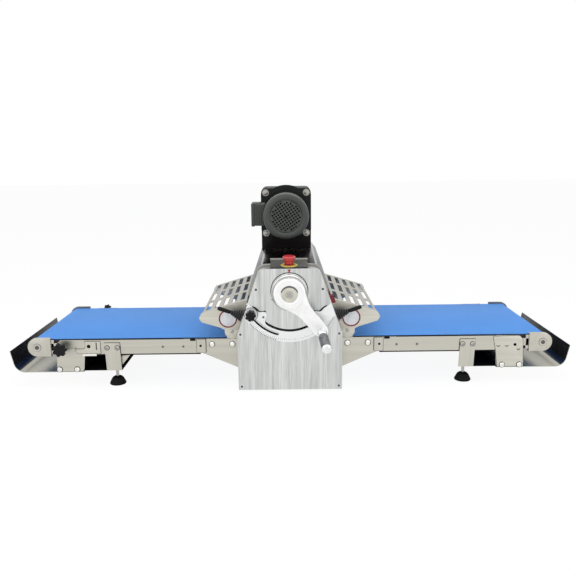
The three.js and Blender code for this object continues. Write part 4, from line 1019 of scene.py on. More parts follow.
def star_knob(radius, depth, collar_radius, collar_depth):
    """A lobed knob whose face looks along Z from its collar's end at Z 0."""
    collar = soft_turned([
        (0.0, 0.0), (collar_radius * 0.8, 0.0), (collar_radius, collar_depth), (0.0, collar_depth),
    ], 0.6, 32)
    head_depth = depth - collar_depth
    head = flat_mesh(star_points(radius), [], head_depth, 3.2)
    head.transform(Matrix.Translation((0, 0, (collar_depth + head_depth / 2.0) * MM)))
    cap = soft_turned([
        (0.0, 0.0), (radius * 0.6, 0.0), (radius * 0.55, 1.0), (0.0, 1.3),
    ], 0.4, 32)
    cap.transform(Matrix.Translation((0, 0, (depth - 1.3) * MM)))
    return join_meshes([collar, head, cap])


def add_stop():
    """The stop's washer with a black ring of painted shadow round it, and its star knob."""
    x, z = polar([(STOP_ANGLE, STOP_RADIUS)])[0]
    disc = soft_turned([
        (0.0, 0.0), (21.0, 0.0), (21.0, 3.0), (4.5, 3.0), (4.5, 14.0), (0.0, 14.0),
    ], 0.8, 48)
    facing(disc, x, SECTOR_FRONT - 0.3, z)
    # Painted shadow: a thin black disc just wider than the washer, behind it.
    rings("stop_shadow_ring", [((x, SECTOR_FRONT - 0.24, z), FRONT)], 0.0, 22.6, 0.05, mark_and_shade_black, "thickness_stop")
    mesh_piece("stop_washer", disc, cast_bright, "thickness_stop", ["stop_carrier"])
    knob = facing(star_knob(*STOP_KNOB_SIZES), x, node_box("stop_knob")[1].y, z)
    mesh_piece("stop_star_knob", knob, black_plastic, "stop_knob", ["stop_knob"])


def add_tension_knob():
    """The knob under the left belt's end and a small one at the back."""
    stem_length = 12.0
    seat = node_box("tension_knob")[1].y
    stem = soft_turned([
        (0.0, 0.0), (9.0, 0.0), (9.0, stem_length + 0.5), (0.0, stem_length + 0.5),
    ], 0.6, 32)
    knob = star_knob(*TENSION_KNOB_SIZES)
    facing(stem, TENSION_X, seat, AXLE_Z)
    facing(knob, TENSION_X, seat - stem_length, AXLE_Z)
    mesh_piece("tension_star_knob", join_meshes([stem, knob]), black_plastic, "tension_knob", ["tension_knob"])
    x, z = REAR_KNOB
    rear = facing(star_knob(*REAR_KNOB_SIZES), x, BELT_WIDTH - RAIL_FRONT, z, BACK)
    mesh_piece("rear_star_knob", rear, black_plastic)


# Control deck

DECK_HALF_WIDTH = 59.0
DECK_FRONT, DECK_BACK = -62.0, 43.0
DECK_FRONT_TOP, DECK_BACK_TOP = 406.0, 415.0
DECK_SLOPE = math.atan2(DECK_BACK_TOP - DECK_FRONT_TOP, DECK_BACK - DECK_FRONT)
DECK_STEP = -12.1
DECK_UNDER_FRONT, DECK_UNDER_BACK = 401.4, 408.4
RIDGE_PITCH = 6.5
RIDGE_START, RIDGE_END = -56.0, 36.0
RIDGE_DEPTH = 1.0
LIP_HALF_WIDTH = 61.0
LIP_DEPTH = 14.0
BUTTON_DEPTH = -42.0


def deck_height(depth):
    return DECK_FRONT_TOP + (depth - DECK_FRONT) * math.tan(DECK_SLOPE)


def deck_section():
    """The deck's outline in depth and height, with low ridges across its top and grooves in its front."""
    section = [
        (DECK_FRONT, DECK_UNDER_FRONT), (DECK_STEP, DECK_UNDER_FRONT), (DECK_STEP, DECK_UNDER_BACK),
        (DECK_BACK, DECK_UNDER_BACK), (DECK_BACK, DECK_BACK_TOP),
    ]
    depth = RIDGE_END
    while depth - RIDGE_PITCH > RIDGE_START:
        for share, drop in ((0.0, 0.0), (0.15, RIDGE_DEPTH), (0.35, RIDGE_DEPTH), (0.5, 0.0)):
            at = depth - share * RIDGE_PITCH
            section.append((at, deck_height(at) - drop))
        depth -= RIDGE_PITCH
    section += [
        (-58.0, deck_height(-58.0)), (-60.4, 406.1), (DECK_FRONT, 405.6), (DECK_FRONT, 404.6), (-60.6, 404.2),
        (-60.6, 403.2), (DECK_FRONT, 402.8),
    ]
    return section


def add_deck():
    """A ridged dark block with a pale lip at its back, and the stop button in its plain disc and collar."""
    mesh = flat_mesh(deck_section(), [], 2 * DECK_HALF_WIDTH, 0.25)
    swap = Matrix(((0, 0, 1, 0), (1, 0, 0, 0), (0, 1, 0, 0), (0, 0, 0, 1)))
    mesh.transform(Matrix.Translation(place(0, 0, 0)) @ swap)
    mesh_piece("deck_block", mesh, deck_paint, "machine", ["control_deck"])
    lip = block_mesh((-LIP_HALF_WIDTH, DECK_BACK - LIP_DEPTH, DECK_BACK_TOP - 4.5),
                     (LIP_HALF_WIDTH, DECK_BACK, DECK_BACK_TOP + 1.6), 0.5)
    mesh_piece("deck_back_lip", lip, deck_lip)
    seat = Matrix.Translation(place(0, BUTTON_DEPTH, deck_height(BUTTON_DEPTH)))
    at = seat @ Matrix.Rotation(DECK_SLOPE, 4, "X")
    disc = soft_turned([
        (16.6, 0.05), (26.5, 0.05), (26.5, 1.1), (24.8, 1.8), (16.6, 1.8), (16.6, 0.05),
    ], 0.4, 64)
    disc.transform(at)
    mesh_piece("stop_disc", disc, yellow_plastic)
    collar = soft_turned([
        (15.2, 0.0), (16.4, 0.0), (16.4, 3.0), (15.9, 4.4), (15.2, 4.4), (15.2, 0.0),
    ], 0.6, 48)
    collar.transform(at)
    mesh_piece("stop_collar", collar, red_plastic)
    button = soft_turned([
        (0.0, 5.2), (14.2, 5.2), (14.8, 12.0), (16.4, 17.0), (19.2, 20.8), (20.0, 23.5), (20.0, 27.5),
        (17.5, 30.2), (9.0, 31.0), (0.0, 31.0),
    ], 1.5, 64)
    button.transform(at)
    mesh_piece("stop_mushroom", button, red_plastic, "stop_button", ["stop_button"])


# Motor

HOOD_BACK = node_box("fan_cover")[1].y
HOOD_DEPTH = HOOD_BACK - node_box("fan_cover")[0].y
HOOD_RADIUS = (node_box("fan_cover")[1].x - node_box("fan_cover")[0].x) / 2.0
GRILLE_RADIUS = 55.0
GRILLE_RECESS = 3.0
GRILLE_SHEET = 1.5
GRILLE_PITCH = 9.2
GRILLE_HOLE = 3.3
GRILLE_TURN = 33.0
FLANGE_DEPTH = 285.0
FLANGE_BOLTS = ((-72.9, 69.5), (72.9, 69.5), (-72.9, -75.5), (72.9, -75.5))
FLANGE_RING_RADII = (80.0, 87.0)
BOX_CORNER = 3.0
BOX_LID = 12.0
BOX_SEAM = 1.6
BOX_RIB_COUNT = 4


def grille_holes(radius):
    """Square rows of small round holes inside a circle, turned a little, around one middle hole."""
    holes = [ring_points(0.0, 0.0, GRILLE_HOLE * 1.5, 16)]
    reach = int(radius / GRILLE_PITCH) + 1
    angle = math.radians(GRILLE_TURN)
    for row in range(-reach, reach + 1):
        for column in range(-reach, reach + 1):
            x, z = column * GRILLE_PITCH, row * GRILLE_PITCH
            distance = math.hypot(x, z)
            if GRILLE_PITCH * 0.9 < distance < radius - GRILLE_HOLE * 1.3:
                holes.append(ring_points(x * math.cos(angle) - z * math.sin(angle),
                                         x * math.sin(angle) + z * math.cos(angle), GRILLE_HOLE, 12))
    return holes


def add_fan_cover():
    front = HOOD_DEPTH
    radius = HOOD_RADIUS
    shell = soft_turned([
        (53.0, front - 3.0), (57.0, front - 3.0), (59.0, front - 0.4), (66.0, front), (72.5, front - 2.0),
        (76.0, front - 7.0), (radius, front - 13.0), (radius, 1.2), (76.2, 0.0), (68.3, 0.0), (68.3, 2.5),
        (74.5, 2.5), (74.5, front - 13.0), (72.0, front - 7.0), (67.0, front - 4.5), (53.0, front - 4.5),
        (53.0, front - 3.0),
    ], 1.5, 96)
    facing(shell, MOTOR_X, HOOD_BACK, MOTOR_Z)
    disc = ring_points(0, 0, GRILLE_RADIUS, 72)
    grille = flat_mesh(disc, grille_holes(GRILLE_RADIUS - 3.0), GRILLE_SHEET, 0.25)
    facing(grille, MOTOR_X, HOOD_BACK - front + GRILLE_RECESS + GRILLE_SHEET / 2.0, MOTOR_Z)
    mesh_piece("fan_hood", join_meshes([shell, grille]), motor_paint, "machine", ["fan_cover"])


def add_motor_bolts():
    places = [((MOTOR_X + x, FLANGE_DEPTH, MOTOR_Z + z), FRONT) for x, z in FLANGE_BOLTS]
    rings("flange_washers", places, 0.0, 12.0, 1.8, steel_bolt)
    heads = [((x, depth - 1.8, z), normal) for (x, depth, z), normal in places]
    screws("flange_bolts", heads, 9.5, 7.0, "hex", steel_bolt)
    middle = [((MOTOR_X, FLANGE_DEPTH, MOTOR_Z), FRONT)]
    rings("flange_ring", middle, *FLANGE_RING_RADII, 2.0, flange_paint)


def add_terminal_box():
    """A ribbed junction box on the motor's left side, with its lid outward."""
    (left, near, bottom), (right, far, top) = node_box("terminal_box")
    base = block_mesh((left + BOX_LID + BOX_SEAM, near, bottom + 2.0), (right, far, top - 3.0), BOX_CORNER)
    lid = block_mesh((left, near + 1.0, bottom), (left + BOX_LID, far - 1.0, top - 2.0), BOX_CORNER / 2.0)
    seam = block_mesh((left + 4.0, near + 3.0, bottom + 4.0), (right - 4.0, far - 3.0, top - 5.0), BOX_SEAM)
    cap = block_mesh((left + 2.0, near + 4.0, top - 12.0), (left + 32.0, far - 4.0, top), BOX_CORNER / 2.0)
    mesh_piece("junction_box", join_meshes([base, lid, seam, cap]), motor_paint, "machine", ["terminal_box"])
    ribs = []
    pitch = (right - left - BOX_LID - BOX_SEAM - BOX_CORNER) / BOX_RIB_COUNT
    for step in range(BOX_RIB_COUNT):
        x = left + BOX_LID + BOX_SEAM + (step + 0.35) * pitch
        ribs.append(block_mesh((x, near - 1.4, bottom + 9.0), (x + 3.0, near + 1.0, top - 9.0), 0.6))
    mesh_piece("junction_box_ribs", join_meshes(ribs), motor_paint)


GEAR_COVER_GAP = 7.0
GEAR_CORNER = 20.0
GEAR_FOOT_START = 301.0


def add_gear_case():
    """The dark gear case behind the flange, whose foot follows the hood's shoulders."""
    (left, near, _), (right, far, top) = node_box("gear_housing")
    foot = [point for point in head_side(GEAR_COVER_GAP, GEAR_FOOT_START) if point[0] < right]
    far_foot = [(-x, z) for x, z in head_side(GEAR_COVER_GAP, GEAR_FOOT_START) if x < -left][::-1]
    corners = rounded_polygon([(right, foot[0][1]), (right, top), (left, top), (left, far_foot[-1][1])],
                              [0.0, GEAR_CORNER, GEAR_CORNER, 0.0])
    outline = corners + far_foot[::-1][1:] + foot[::-1][1:-1]
    mesh_piece("gear_case", plate_mesh(outline, [], near, far, 2.0), dark_paint, "machine", ["gear_housing"])


# Guards

GUARD_INNER = (135.0, 292.0)
GUARD_OUTER = (286.0, 247.0)
GUARD_NOSE = (296.0, 230.0)
GUARD_CHIN = (288.0, 216.0)
GUARD_THROAT = (229.0, 198.0)
GUARD_CORNER_RADII = [1.0, 4.0, 9.0, 11.0, 16.0, 0.0, 0.0]
EAR = (189.0, 184.0)
EAR_RADIUS = 24.0
EAR_START = 15.0
EAR_PIN_RADIUS = 6.0
GUARD_SHEET = 2.0
GUARD_SLOPE = math.atan2(GUARD_INNER[1] - GUARD_OUTER[1], GUARD_OUTER[0] - GUARD_INNER[0])
GUARD_LENGTH = math.dist(GUARD_INNER, GUARD_OUTER)
GUARD_TOP_GAP = 0.3
GUARD_COLUMNS, GUARD_ROWS = 5, 3
SLOT_WIDTH = 14.0
SLOT_EDGE = 12.0
SLOT_BRIDGE = 32.0
SLOT_END = 20.0
GUARD_LIP = 9.0
SIGN_AT = (201.0, 227.0)
SIGN_RADIUS = 30.0
SIGN_INNER_RADIUS = 25.4


def guard_slots(depth):
    pitch = (GUARD_LENGTH - 2 * SLOT_EDGE - SLOT_WIDTH) / (GUARD_COLUMNS - 1)
    slot = (depth - 2 * SLOT_END - (GUARD_ROWS - 1) * SLOT_BRIDGE) / GUARD_ROWS
    holes = []
    for column in range(GUARD_COLUMNS):
        left = SLOT_EDGE + column * pitch
        for row in range(GUARD_ROWS):
            near = SLOT_END + row * (slot + SLOT_BRIDGE)
            holes.append(rounded_box(left, left + SLOT_WIDTH, near, near + slot, 3.0))
    return holes


def cheek_outline():
    ear = arc_points(*EAR, EAR_RADIUS, EAR_START, -180.0, 30)
    corners = [GUARD_INNER, GUARD_OUTER, GUARD_NOSE, GUARD_CHIN, GUARD_THROAT, ear[0], ear[-1]]
    return rounded_polygon(corners, GUARD_CORNER_RADII)[:-2] + ear


def guard_pieces(word, side):
    """A slotted sheet between two cheeks, which turns about the ears."""
    body = f"guard_{word}"
    panel_front = GUARD_FRONT + GUARD_SHEET / 2.0
    depth = BELT_WIDTH - 2 * panel_front
    outline = [(2.0, 0.0), (GUARD_LENGTH - 2.0, 0.0), (GUARD_LENGTH - 2.0, depth), (2.0, depth)]
    panel = flat_mesh(outline, guard_slots(depth), GUARD_SHEET, 0.35)
    panel.transform(Matrix.Translation((0, 0, -(GUARD_TOP_GAP + GUARD_SHEET / 2.0) * MM)))
    lip = box_mesh((GUARD_LENGTH - 3.6, 0.0, -GUARD_LIP), (GUARD_LENGTH - 2.0, depth, -GUARD_TOP_GAP), 0.4)
    sheet = join_meshes([panel, lip])
    sheet.transform(Matrix.Translation(place(GUARD_INNER[0], panel_front, GUARD_INNER[1]))
                    @ Matrix.Rotation(GUARD_SLOPE, 4, "Y"))
    if side < 0:
        sheet.transform(Matrix.Scale(-1.0, 4, (1, 0, 0)))
        sheet.flip_normals()
    mesh_piece(f"guard_sheet_{word}", sheet, guard_steel, body, [body])
    cheeks = []
    for near, far in both_depths(GUARD_FRONT, GUARD_FRONT + GUARD_SHEET):
        hole = ring_points(side * EAR[0], EAR[1], 3.2, 24)
        cheeks.append(plate_mesh(on_side(cheek_outline(), side), [hole], near, far, 0.35))
    for near, far in both_depths(GUARD_FRONT + 1.0, -1.2):
        pin = pin_mesh(EAR_PIN_RADIUS, far - near, 24)
        cheeks.append(facing(pin, side * EAR[0], far, EAR[1]))
    mesh_piece(f"guard_cheeks_{word}", join_meshes(cheeks), cheek_steel, body, [body])
    places = front_and_back([(side * EAR[0], EAR[1])], GUARD_FRONT)
    screws(f"guard_pivot_{word}", places, 6.5, 2.6, "button", steel_bolt, body)


def sign_pieces(word, side):
    """A bare white disc with a red ring on the near cheek."""
    at = [((side * SIGN_AT[0], GUARD_FRONT, SIGN_AT[1]), FRONT)]
    rings(f"sign_disc_{word}", at, 0.0, SIGN_INNER_RADIUS + 1.0, 0.3, white_film, f"guard_{word}")
    rings(f"sign_ring_{word}", at, SIGN_INNER_RADIUS, SIGN_RADIUS, 0.45, red_film, f"guard_{word}")


# Reversing levers

LEVER_HEIGHT = 243.0
LEVER_DEPTH = -40.0
SLANT_LEAN = math.atan2(SHOULDER[0] - SLANT_TOP[0], SLANT_TOP[1] - SHOULDER[1])
BOOT_RIBS = 6
BOOT_BASE_RADIUS, BOOT_TOP_RADIUS = 20.0, 9.0
BOOT_LENGTH = 42.0
BOOT_START = 2.6
BOOT_BORE = 5.4
BOOT_FOLD = 4.4
HANDLE_START, HANDLE_END = 44.0, 86.0


def slant_matrix(side):
    """Z along the lever from the casing's sloping face, on one side."""
    x = SHOULDER[0] - (LEVER_HEIGHT - SHOULDER[1]) * math.tan(SLANT_LEAN)
    turn = -SLANT_LEAN if side > 0 else math.pi + SLANT_LEAN
    along = Matrix.Rotation(math.radians(90), 4, "Y")
    seat = Matrix.Translation(place(side * x, LEVER_DEPTH, LEVER_HEIGHT))
    return seat @ Matrix.Rotation(turn, 4, "Y") @ along


def boot_profile():
    profile = [(BOOT_BORE, BOOT_START - 1.4), (BOOT_BASE_RADIUS - 1.0, BOOT_START)]
    pitch = (BOOT_LENGTH - BOOT_START) / BOOT_RIBS
    for rib in range(BOOT_RIBS):
        crest = BOOT_BASE_RADIUS + (BOOT_TOP_RADIUS - BOOT_BASE_RADIUS) * rib / (BOOT_RIBS - 1)
        low = BOOT_START + rib * pitch
        for radius, share in ((crest, 0.15), (crest, 0.5), (crest - BOOT_FOLD, 0.8)):
            profile.append((radius, low + share * pitch))
    top = [(BOOT_TOP_RADIUS - 1.5, BOOT_LENGTH), (BOOT_BORE, BOOT_LENGTH)]
    return [*profile, *top, profile[0]]


def reverse_pieces(word, side):
    matrix = slant_matrix(side)
    body = f"reverse_lever_{word}"
    boot = soft_turned(boot_profile(), 0.9, 48, 2)
    boot.transform(matrix)
    mesh_piece(f"boot_bellows_{word}", boot, boot_rubber, body, [f"reverse_boot_{word}"], 60.0)
    lever = soft_turned([
        (0.0, 6.0), (5.0, 6.0), (5.0, HANDLE_START - 1.0), (6.2, HANDLE_START), (6.6, HANDLE_START + 3.0),
        (6.6, HANDLE_END - 6.0), (4.5, HANDLE_END - 0.6), (0.0, HANDLE_END),
    ], 1.2, 32)
    lever.transform(matrix)
    mesh_piece(f"reverse_handle_{word}", lever, black_plastic, body, [f"reverse_lever_{word}"])


# Belts and trays

BELT_RADIUS = BELT_TOP - AXLE_Z
BELT_INNER_RADIUS = BELT_RADIUS - 1.1
BELT_EDGE_BOTTOM, BELT_EDGE_TOP = 152.0, 161.4
TRAY_SHEET = 2.0
TRAY_LEAN = 12.0
TRAY_WALL_X = 683.0
TRAY_WALL_TOP = 94.0
TRAY_BOTTOM = 51.0
TRAY_BEND = (877.0, 89.0)
TRAY_BEND_RADIUS = 38.0
TRAY_LIP_TOP = 124.0
TRAY_REFLECTION_NAVY_START, TRAY_REFLECTION_DARK_START = 58.0, 74.0


def belt_pieces(word, side):
    def loop(radius):
        outer = arc_points(END_X, AXLE_Z, radius, -90.0, 90.0, 40)
        inner = arc_points(INNER_X, AXLE_Z, radius, 90.0, 270.0, 40)
        return on_side(outer + inner, side)
    mesh = plate_mesh(loop(BELT_RADIUS), [loop(BELT_INNER_RADIUS)], 0.0, BELT_WIDTH, 0.3)
    mesh_piece(f"belt_band_{word}", mesh, belt_blue, "machine", [f"belt_{word}"], 50.0)
    # Painted shade: thin navy-black strips over the belts' front and back sides.
    shade_strips = [block_mesh((side * INNER_X, near, BELT_EDGE_BOTTOM), (side * END_X, far, BELT_EDGE_TOP), 0.2)
              for near, far in both_depths(-0.9, -0.1)]
    mesh_piece(f"belt_side_shade_{word}", join_meshes(shade_strips), belt_edge_shade)


def tray_line(inset):
    curve = arc_points(*TRAY_BEND, TRAY_BEND_RADIUS - inset, -90.0, -TRAY_LEAN, 24)
    end_x, end_z = curve[-1]
    lip_x = end_x + (TRAY_LIP_TOP - end_z) * math.tan(math.radians(TRAY_LEAN))
    wall_x = TRAY_WALL_X + inset
    return [(wall_x, TRAY_WALL_TOP), (wall_x, TRAY_BOTTOM + inset), *curve, (lip_x, TRAY_LIP_TOP)]


def tray_pieces(word, side):
    """Bent sheet, with painted reflections in navy and near-black inside its lip and wall and along the lip's
    top.
    """
    outline = on_side(tray_line(0.0) + tray_line(TRAY_SHEET)[::-1], side)
    near, far = (node_box("catch_tray_left")[end].y for end in (0, 1))
    mesh = plate_mesh(outline, [], near, far, 0.3)
    mesh_piece(f"tray_sheet_{word}", mesh, steel_deep, "machine", [f"catch_tray_{word}"], 40.0)
    mesh.materials.append(tray_reflection_navy)
    mesh.materials.append(tray_reflection_dark)
    for face in mesh.polygons:
        height = face.center.z / MM
        reach = abs(face.center.x) / MM
        on_lip = reach > TRAY_BEND[0] and height > TRAY_REFLECTION_NAVY_START and side * face.normal.x < -0.15
        if on_lip or reach < TRAY_WALL_X + 2 * TRAY_SHEET and height > TRAY_BOTTOM + TRAY_SHEET:
            face.material_index = 2 if height > TRAY_REFLECTION_DARK_START or reach < TRAY_BEND[0] else 1
        elif height > TRAY_LIP_TOP - 1.0:
            face.material_index = 2


# Legs and feet

LEG_OUTLINE = ((558.0, 151.0), (608.0, 151.0), (605.0, 57.0), (555.0, 57.0))
LEG_TOP_OUTLINE = ((558.0, 151.0), (608.0, 151.0), (606.0, 114.0), (556.0, 114.0))
LEG_THICKNESS = 3.0
LEG_BOLT_SIZES = ((9.0, 0.5), (7.5, 3.6))
LEG_BOLTS = ((566.0, 135.0), (599.5, 135.0))
PAN_INNER_X, PAN_OUTER_X = 558.0, 682.8
PAN_BOTTOM, PAN_TOP = 57.0, 60.0
PAN_NOTCH = (606.0, 30.0, 360.0)
PAN_NEAR_X = 567.0
PAN_LIP = ((-520.0, 108.0), (-517.0, 108.0), (-555.0, 57.0), (-558.0, 57.0))
BRACKET = ((-559.0, 105.0), (-559.0, 76.0), (-553.0, 76.0), (-526.5, 108.0))
BRACKET_DEPTHS = (-8.0, -5.0)
FOOT_DEPTHS = (("front", 18.0), ("rear", 402.0))
FOOT_X = node_middle("foot_right_front").x
FOOT_TOP = node_box("foot_right_front")[1].z
NUT_BOTTOM, NUT_HEIGHT = 50.5, 6.0
NUT_RADIUS = 10.0
STUD_RADIUS = 5.1


def leg_pieces(word, side):
    """Two leg plates joined by a shelf whose near-black is painted shade under the belts; the left shelf has a
    raised lip.
    """
    node = f"leg_frame_{word}"
    plates = [plate_mesh(on_side(LEG_OUTLINE, side), [], near, far, 0.7)
              for near, far in both_depths(LEG_FRONT, LEG_FRONT + LEG_THICKNESS)]
    mesh_piece(f"leg_plates_{word}", join_meshes(plates), steel_upright, "machine", [node])
    near, far = LEG_FRONT + LEG_THICKNESS / 2.0, BELT_WIDTH - LEG_FRONT - LEG_THICKNESS / 2.0
    holes = [ring_points(side * FOOT_X, foot_depth, 5.4, 24) for _, foot_depth in FOOT_DEPTHS]
    outline = [(PAN_INNER_X, near), (PAN_OUTER_X, near), (PAN_OUTER_X, far), (PAN_INNER_X, far)]
    if side > 0:
        outline[0] = (PAN_NEAR_X, near)
        outline += [(PAN_INNER_X, PAN_NOTCH[2]), (PAN_NOTCH[0], PAN_NOTCH[2]), (PAN_NOTCH[0], PAN_NOTCH[1]),
                    (PAN_NEAR_X, PAN_NOTCH[1])]
    shelf = flat_mesh(on_side(outline, side), holes, PAN_TOP - PAN_BOTTOM, 0.4)
    shelf.transform(Matrix.Translation(place(0, 0, (PAN_TOP + PAN_BOTTOM) / 2.0)))
    parts = [shelf]
    if side < 0:
        parts.append(plate_mesh(list(PAN_LIP), [], near, far, 0.4))
    mesh_piece(f"shelf_pan_{word}", join_meshes(parts), pan_shade_black, "machine", [node])
    points = on_side(LEG_BOLTS, side)
    # The dark seats are painted shadow round the leg bolts.
    seated_screws("leg_bolt", word, points, LEG_FRONT, *LEG_BOLT_SIZES, dark_screw_and_shadow, steel_bolt)


def add_table_bracket():
    """A small bright bracket behind the left leg."""
    mesh_piece("table_bracket", plate_mesh(list(BRACKET), [], *BRACKET_DEPTHS, 0.6), cheek_steel)


def foot_pieces(word, side, place_word, depth):
    """A rubber dome under a bright stud with a lock nut."""
    body = f"foot_{word}_{place_word}"
    dome = soft_turned([
        (0.0, 0.0), (25.0, 0.0), (27.0, 1.5), (27.0, 5.0), (25.0, 8.5), (20.5, 18.0), (17.0, 23.0),
        (11.0, 26.5), (7.0, 28.0), (0.0, 28.0),
    ], 2.4, 48, 4)
    dome.transform(Matrix.Translation(place(side * FOOT_X, depth, 0.0)))
    mesh_piece(f"rubber_foot_{word}_{place_word}", dome, rubber, body, [body])
    stud = turned_mesh([(0.0, 27.0), (STUD_RADIUS, 27.0), (STUD_RADIUS, FOOT_TOP - 1.0), (4.2, FOOT_TOP),
                        (0.0, FOOT_TOP)], 32)
    stud.transform(Matrix.Translation(place(side * FOOT_X, depth, 0.0)))
    bore = ring_points(0, 0, STUD_RADIUS, 24)
    nut = flat_mesh(ring_points(0, 0, NUT_RADIUS, 6), [bore], NUT_HEIGHT, 0.6)
    nut.transform(Matrix.Translation(place(side * FOOT_X, depth, NUT_BOTTOM + NUT_HEIGHT / 2.0)))
    mesh_piece(f"foot_stud_{word}_{place_word}", join_meshes([stud, nut]), steel_bolt, body, [body])


# Rails, arms and end blocks

ARM_BOLT_SIZES = ((10.4, 0.5), (9.0, 4.6))
ARM_BOLTS = ((189.0, 141.0), (256.0, 141.0))
SPLICE = (276.5, 305.5, 114.0, 159.4)
SPLICE_HOLE = (293.0, 137.5)
PROUD = 1.2
RAIL_SHADOW_STRIP = (294.0, 674.0, 109.0, 112.8)
RAIL_SCREW_SIZES = ((5.4, 0.25), (3.0, 1.4))
RAIL_SCREWS = ((350.0, 135.5), (417.0, 135.5))
RAIL_NOTCH = (309.0, 327.0, 154.5, 161.4)
HANGER_OUTLINE = (
    (667.0, 158.0), (676.0, 113.0), (684.0, 55.6), (769.4, 55.6), (764.0, 149.0), (753.0, 160.0),
)
HANGER_SHADOW_MARKS = ((684.0, 130.0), (712.0, 130.0), (751.0, 118.0))
CRESCENT_RADIUS, CRESCENT_WIDTH = 6.5, 2.6
CRESCENT_ANGLES = (200.0, 340.0)
HANGER_HOLE = (739.0, 130.0)
HANGER_BOLT_SIZES = ((10.2, 0.4), (8.3, 4.0))
HANGER_BOLTS_RIGHT = ((699.6, 61.5), (756.5, 61.5))
HANGER_BOLTS_LEFT = ((-703.7, 61.5), (-761.6, 61.5))
ADJUSTER_OUTLINE = ((-622.0, 115.5), (-690.0, 115.5), (-700.0, 118.0), (-705.0, 124.0), (-705.0, 131.0),
                    (-676.0, 131.0), (-672.0, 136.0), (-671.5, 156.0), (-622.0, 156.0))
ADJUSTER_HOLE = (-660.0, 139.7)
ADJUSTER_SLOT = (-636.6, -633.4, 128.0, 153.0)
ADJUSTER_STRIP = (-682.0, -636.0, 107.0, 114.0)
YOKE_RADIUS = 31.0
YOKE_LENGTH = 45.0
YOKE_NECK = (-55.0, -44.7, 46.0)
YOKE_TONGUE = (-137.0, -45.0, 25.0)
YOKE_PLATE_DEPTHS = (-9.3, -3.3)
YOKE_BLOCK_DEPTHS = (-13.0, -1.0)
AXLE_RADIUS = 10.0


def crescent(x, z):
    """A thin curved painted shadow, thick in its middle."""
    start, end = CRESCENT_ANGLES
    outer = arc_points(x, z, CRESCENT_RADIUS, start, end, 16)
    inner = arc_points(x, z + CRESCENT_WIDTH, CRESCENT_RADIUS, end, start, 16)
    return outer + inner[1:-1]


def rail_pieces(word, side):
    """Splices and bolts along the rails and arms, with painted shadow: dark lines round the splices and leg
    tops, dark notches, and a dark strip under each rail.
    """
    left, right, bottom, top = SPLICE
    outline = on_side(rounded_box(left, right, bottom, top, 1.5), side)
    hole = ring_points(side * SPLICE_HOLE[0], SPLICE_HOLE[1], 4.0, 24)
    splices = [plate_mesh(outline, [hole], near, far, 0.3)
               for near, far in both_depths(RAIL_FRONT - PROUD, RAIL_FRONT - FACE_GAP)]
    mesh_piece(f"splice_plates_{word}", join_meshes(splices), steel_upright)
    # Painted shade: black discs behind the splice holes.
    places = front_and_back([(side * SPLICE_HOLE[0], SPLICE_HOLE[1])], RAIL_FRONT)
    rings(f"splice_hole_shadows_{word}", places, 0.0, 4.4, 0.2, mark_and_shade_black)
    points = on_side(ARM_BOLTS, side)
    # The dark seats are painted shadow round the arm bolts.
    seated_screws("arm_bolt", word, points, ARM_FRONT, *ARM_BOLT_SIZES, dark_screw_and_shadow, bright_bolt)
    # Painted shadow lines round the splices and the leg tops.
    shadow_outline(f"splice_shadow_lines_{word}", [outline], RAIL_FRONT)
    shadow_outline(f"leg_shadow_lines_{word}", [on_side(LEG_TOP_OUTLINE, side)], RAIL_FRONT)
    points = on_side(RAIL_SCREWS, side)
    seated_screws("rail_screw", word, points, RAIL_FRONT, *RAIL_SCREW_SIZES, steel_bolt, dark_screw_and_shadow)
    # Painted shade: black blocks in the rails' top notches.
    left, right, bottom, top = RAIL_NOTCH
    notch_shadows = [block_mesh((side * left, near, bottom), (side * right, far, top), 0.1)
               for near, far in both_depths(RAIL_FRONT - 0.25, RAIL_FRONT + 2.0)]
    mesh_piece(f"rail_notch_shadows_{word}", join_meshes(notch_shadows), mark_and_shade_black)
    # Painted shadow: a black strip under each rail.
    left, right, bottom, top = RAIL_SHADOW_STRIP
    shade_strips = [block_mesh((side * left, near, bottom), (side * right, far, top), 0.5)
              for near, far in both_depths(RAIL_FRONT + 0.2, RAIL_FRONT + 5.0)]
    mesh_piece(f"rail_shadow_strips_{word}", join_meshes(shade_strips), rubber)


def hanger_bolts(word, points):
    face = RAIL_FRONT - PROUD if word == "right" else RAIL_FRONT
    # The dark seats are painted shadow round the hanger bolts.
    seated_screws("hanger_bolt", word, points, face, *HANGER_BOLT_SIZES, dark_screw_and_shadow, bright_bolt)


def add_right_hanger():
    """A cover plate over the right rail's end, with a hole in black painted shade and small curved painted
    shadows.
    """
    outline = rounded_polygon(HANGER_OUTLINE, [3.0, 8.0, 2.0, 3.0, 3.0, 3.0])
    hole = ring_points(*HANGER_HOLE, 5.0, 24)
    covers = [plate_mesh(outline, [hole], near, far, 0.35)
              for near, far in both_depths(RAIL_FRONT - PROUD, RAIL_FRONT - FACE_GAP)]
    mesh_piece("hanger_cover_right", join_meshes(covers), cheek_steel)
    shadow_outline("hanger_shadow_line_right", [outline], RAIL_FRONT)
    # Painted shade: black discs behind the hole.
    places = front_and_back([HANGER_HOLE], RAIL_FRONT)
    rings("hanger_hole_shadow_right", places, 0.0, 5.6, 0.2, mark_and_shade_black)
    face = RAIL_FRONT - PROUD
    # Painted shadows: small black crescents on the cover.
    shadow_marks = [plate_mesh(crescent(x, z), [], face - 0.25, face, 0.05) for x, z in HANGER_SHADOW_MARKS]
    mesh_piece("hanger_shadow_marks_right", join_meshes(shadow_marks), mark_and_shade_black)
    hanger_bolts("right", HANGER_BOLTS_RIGHT)


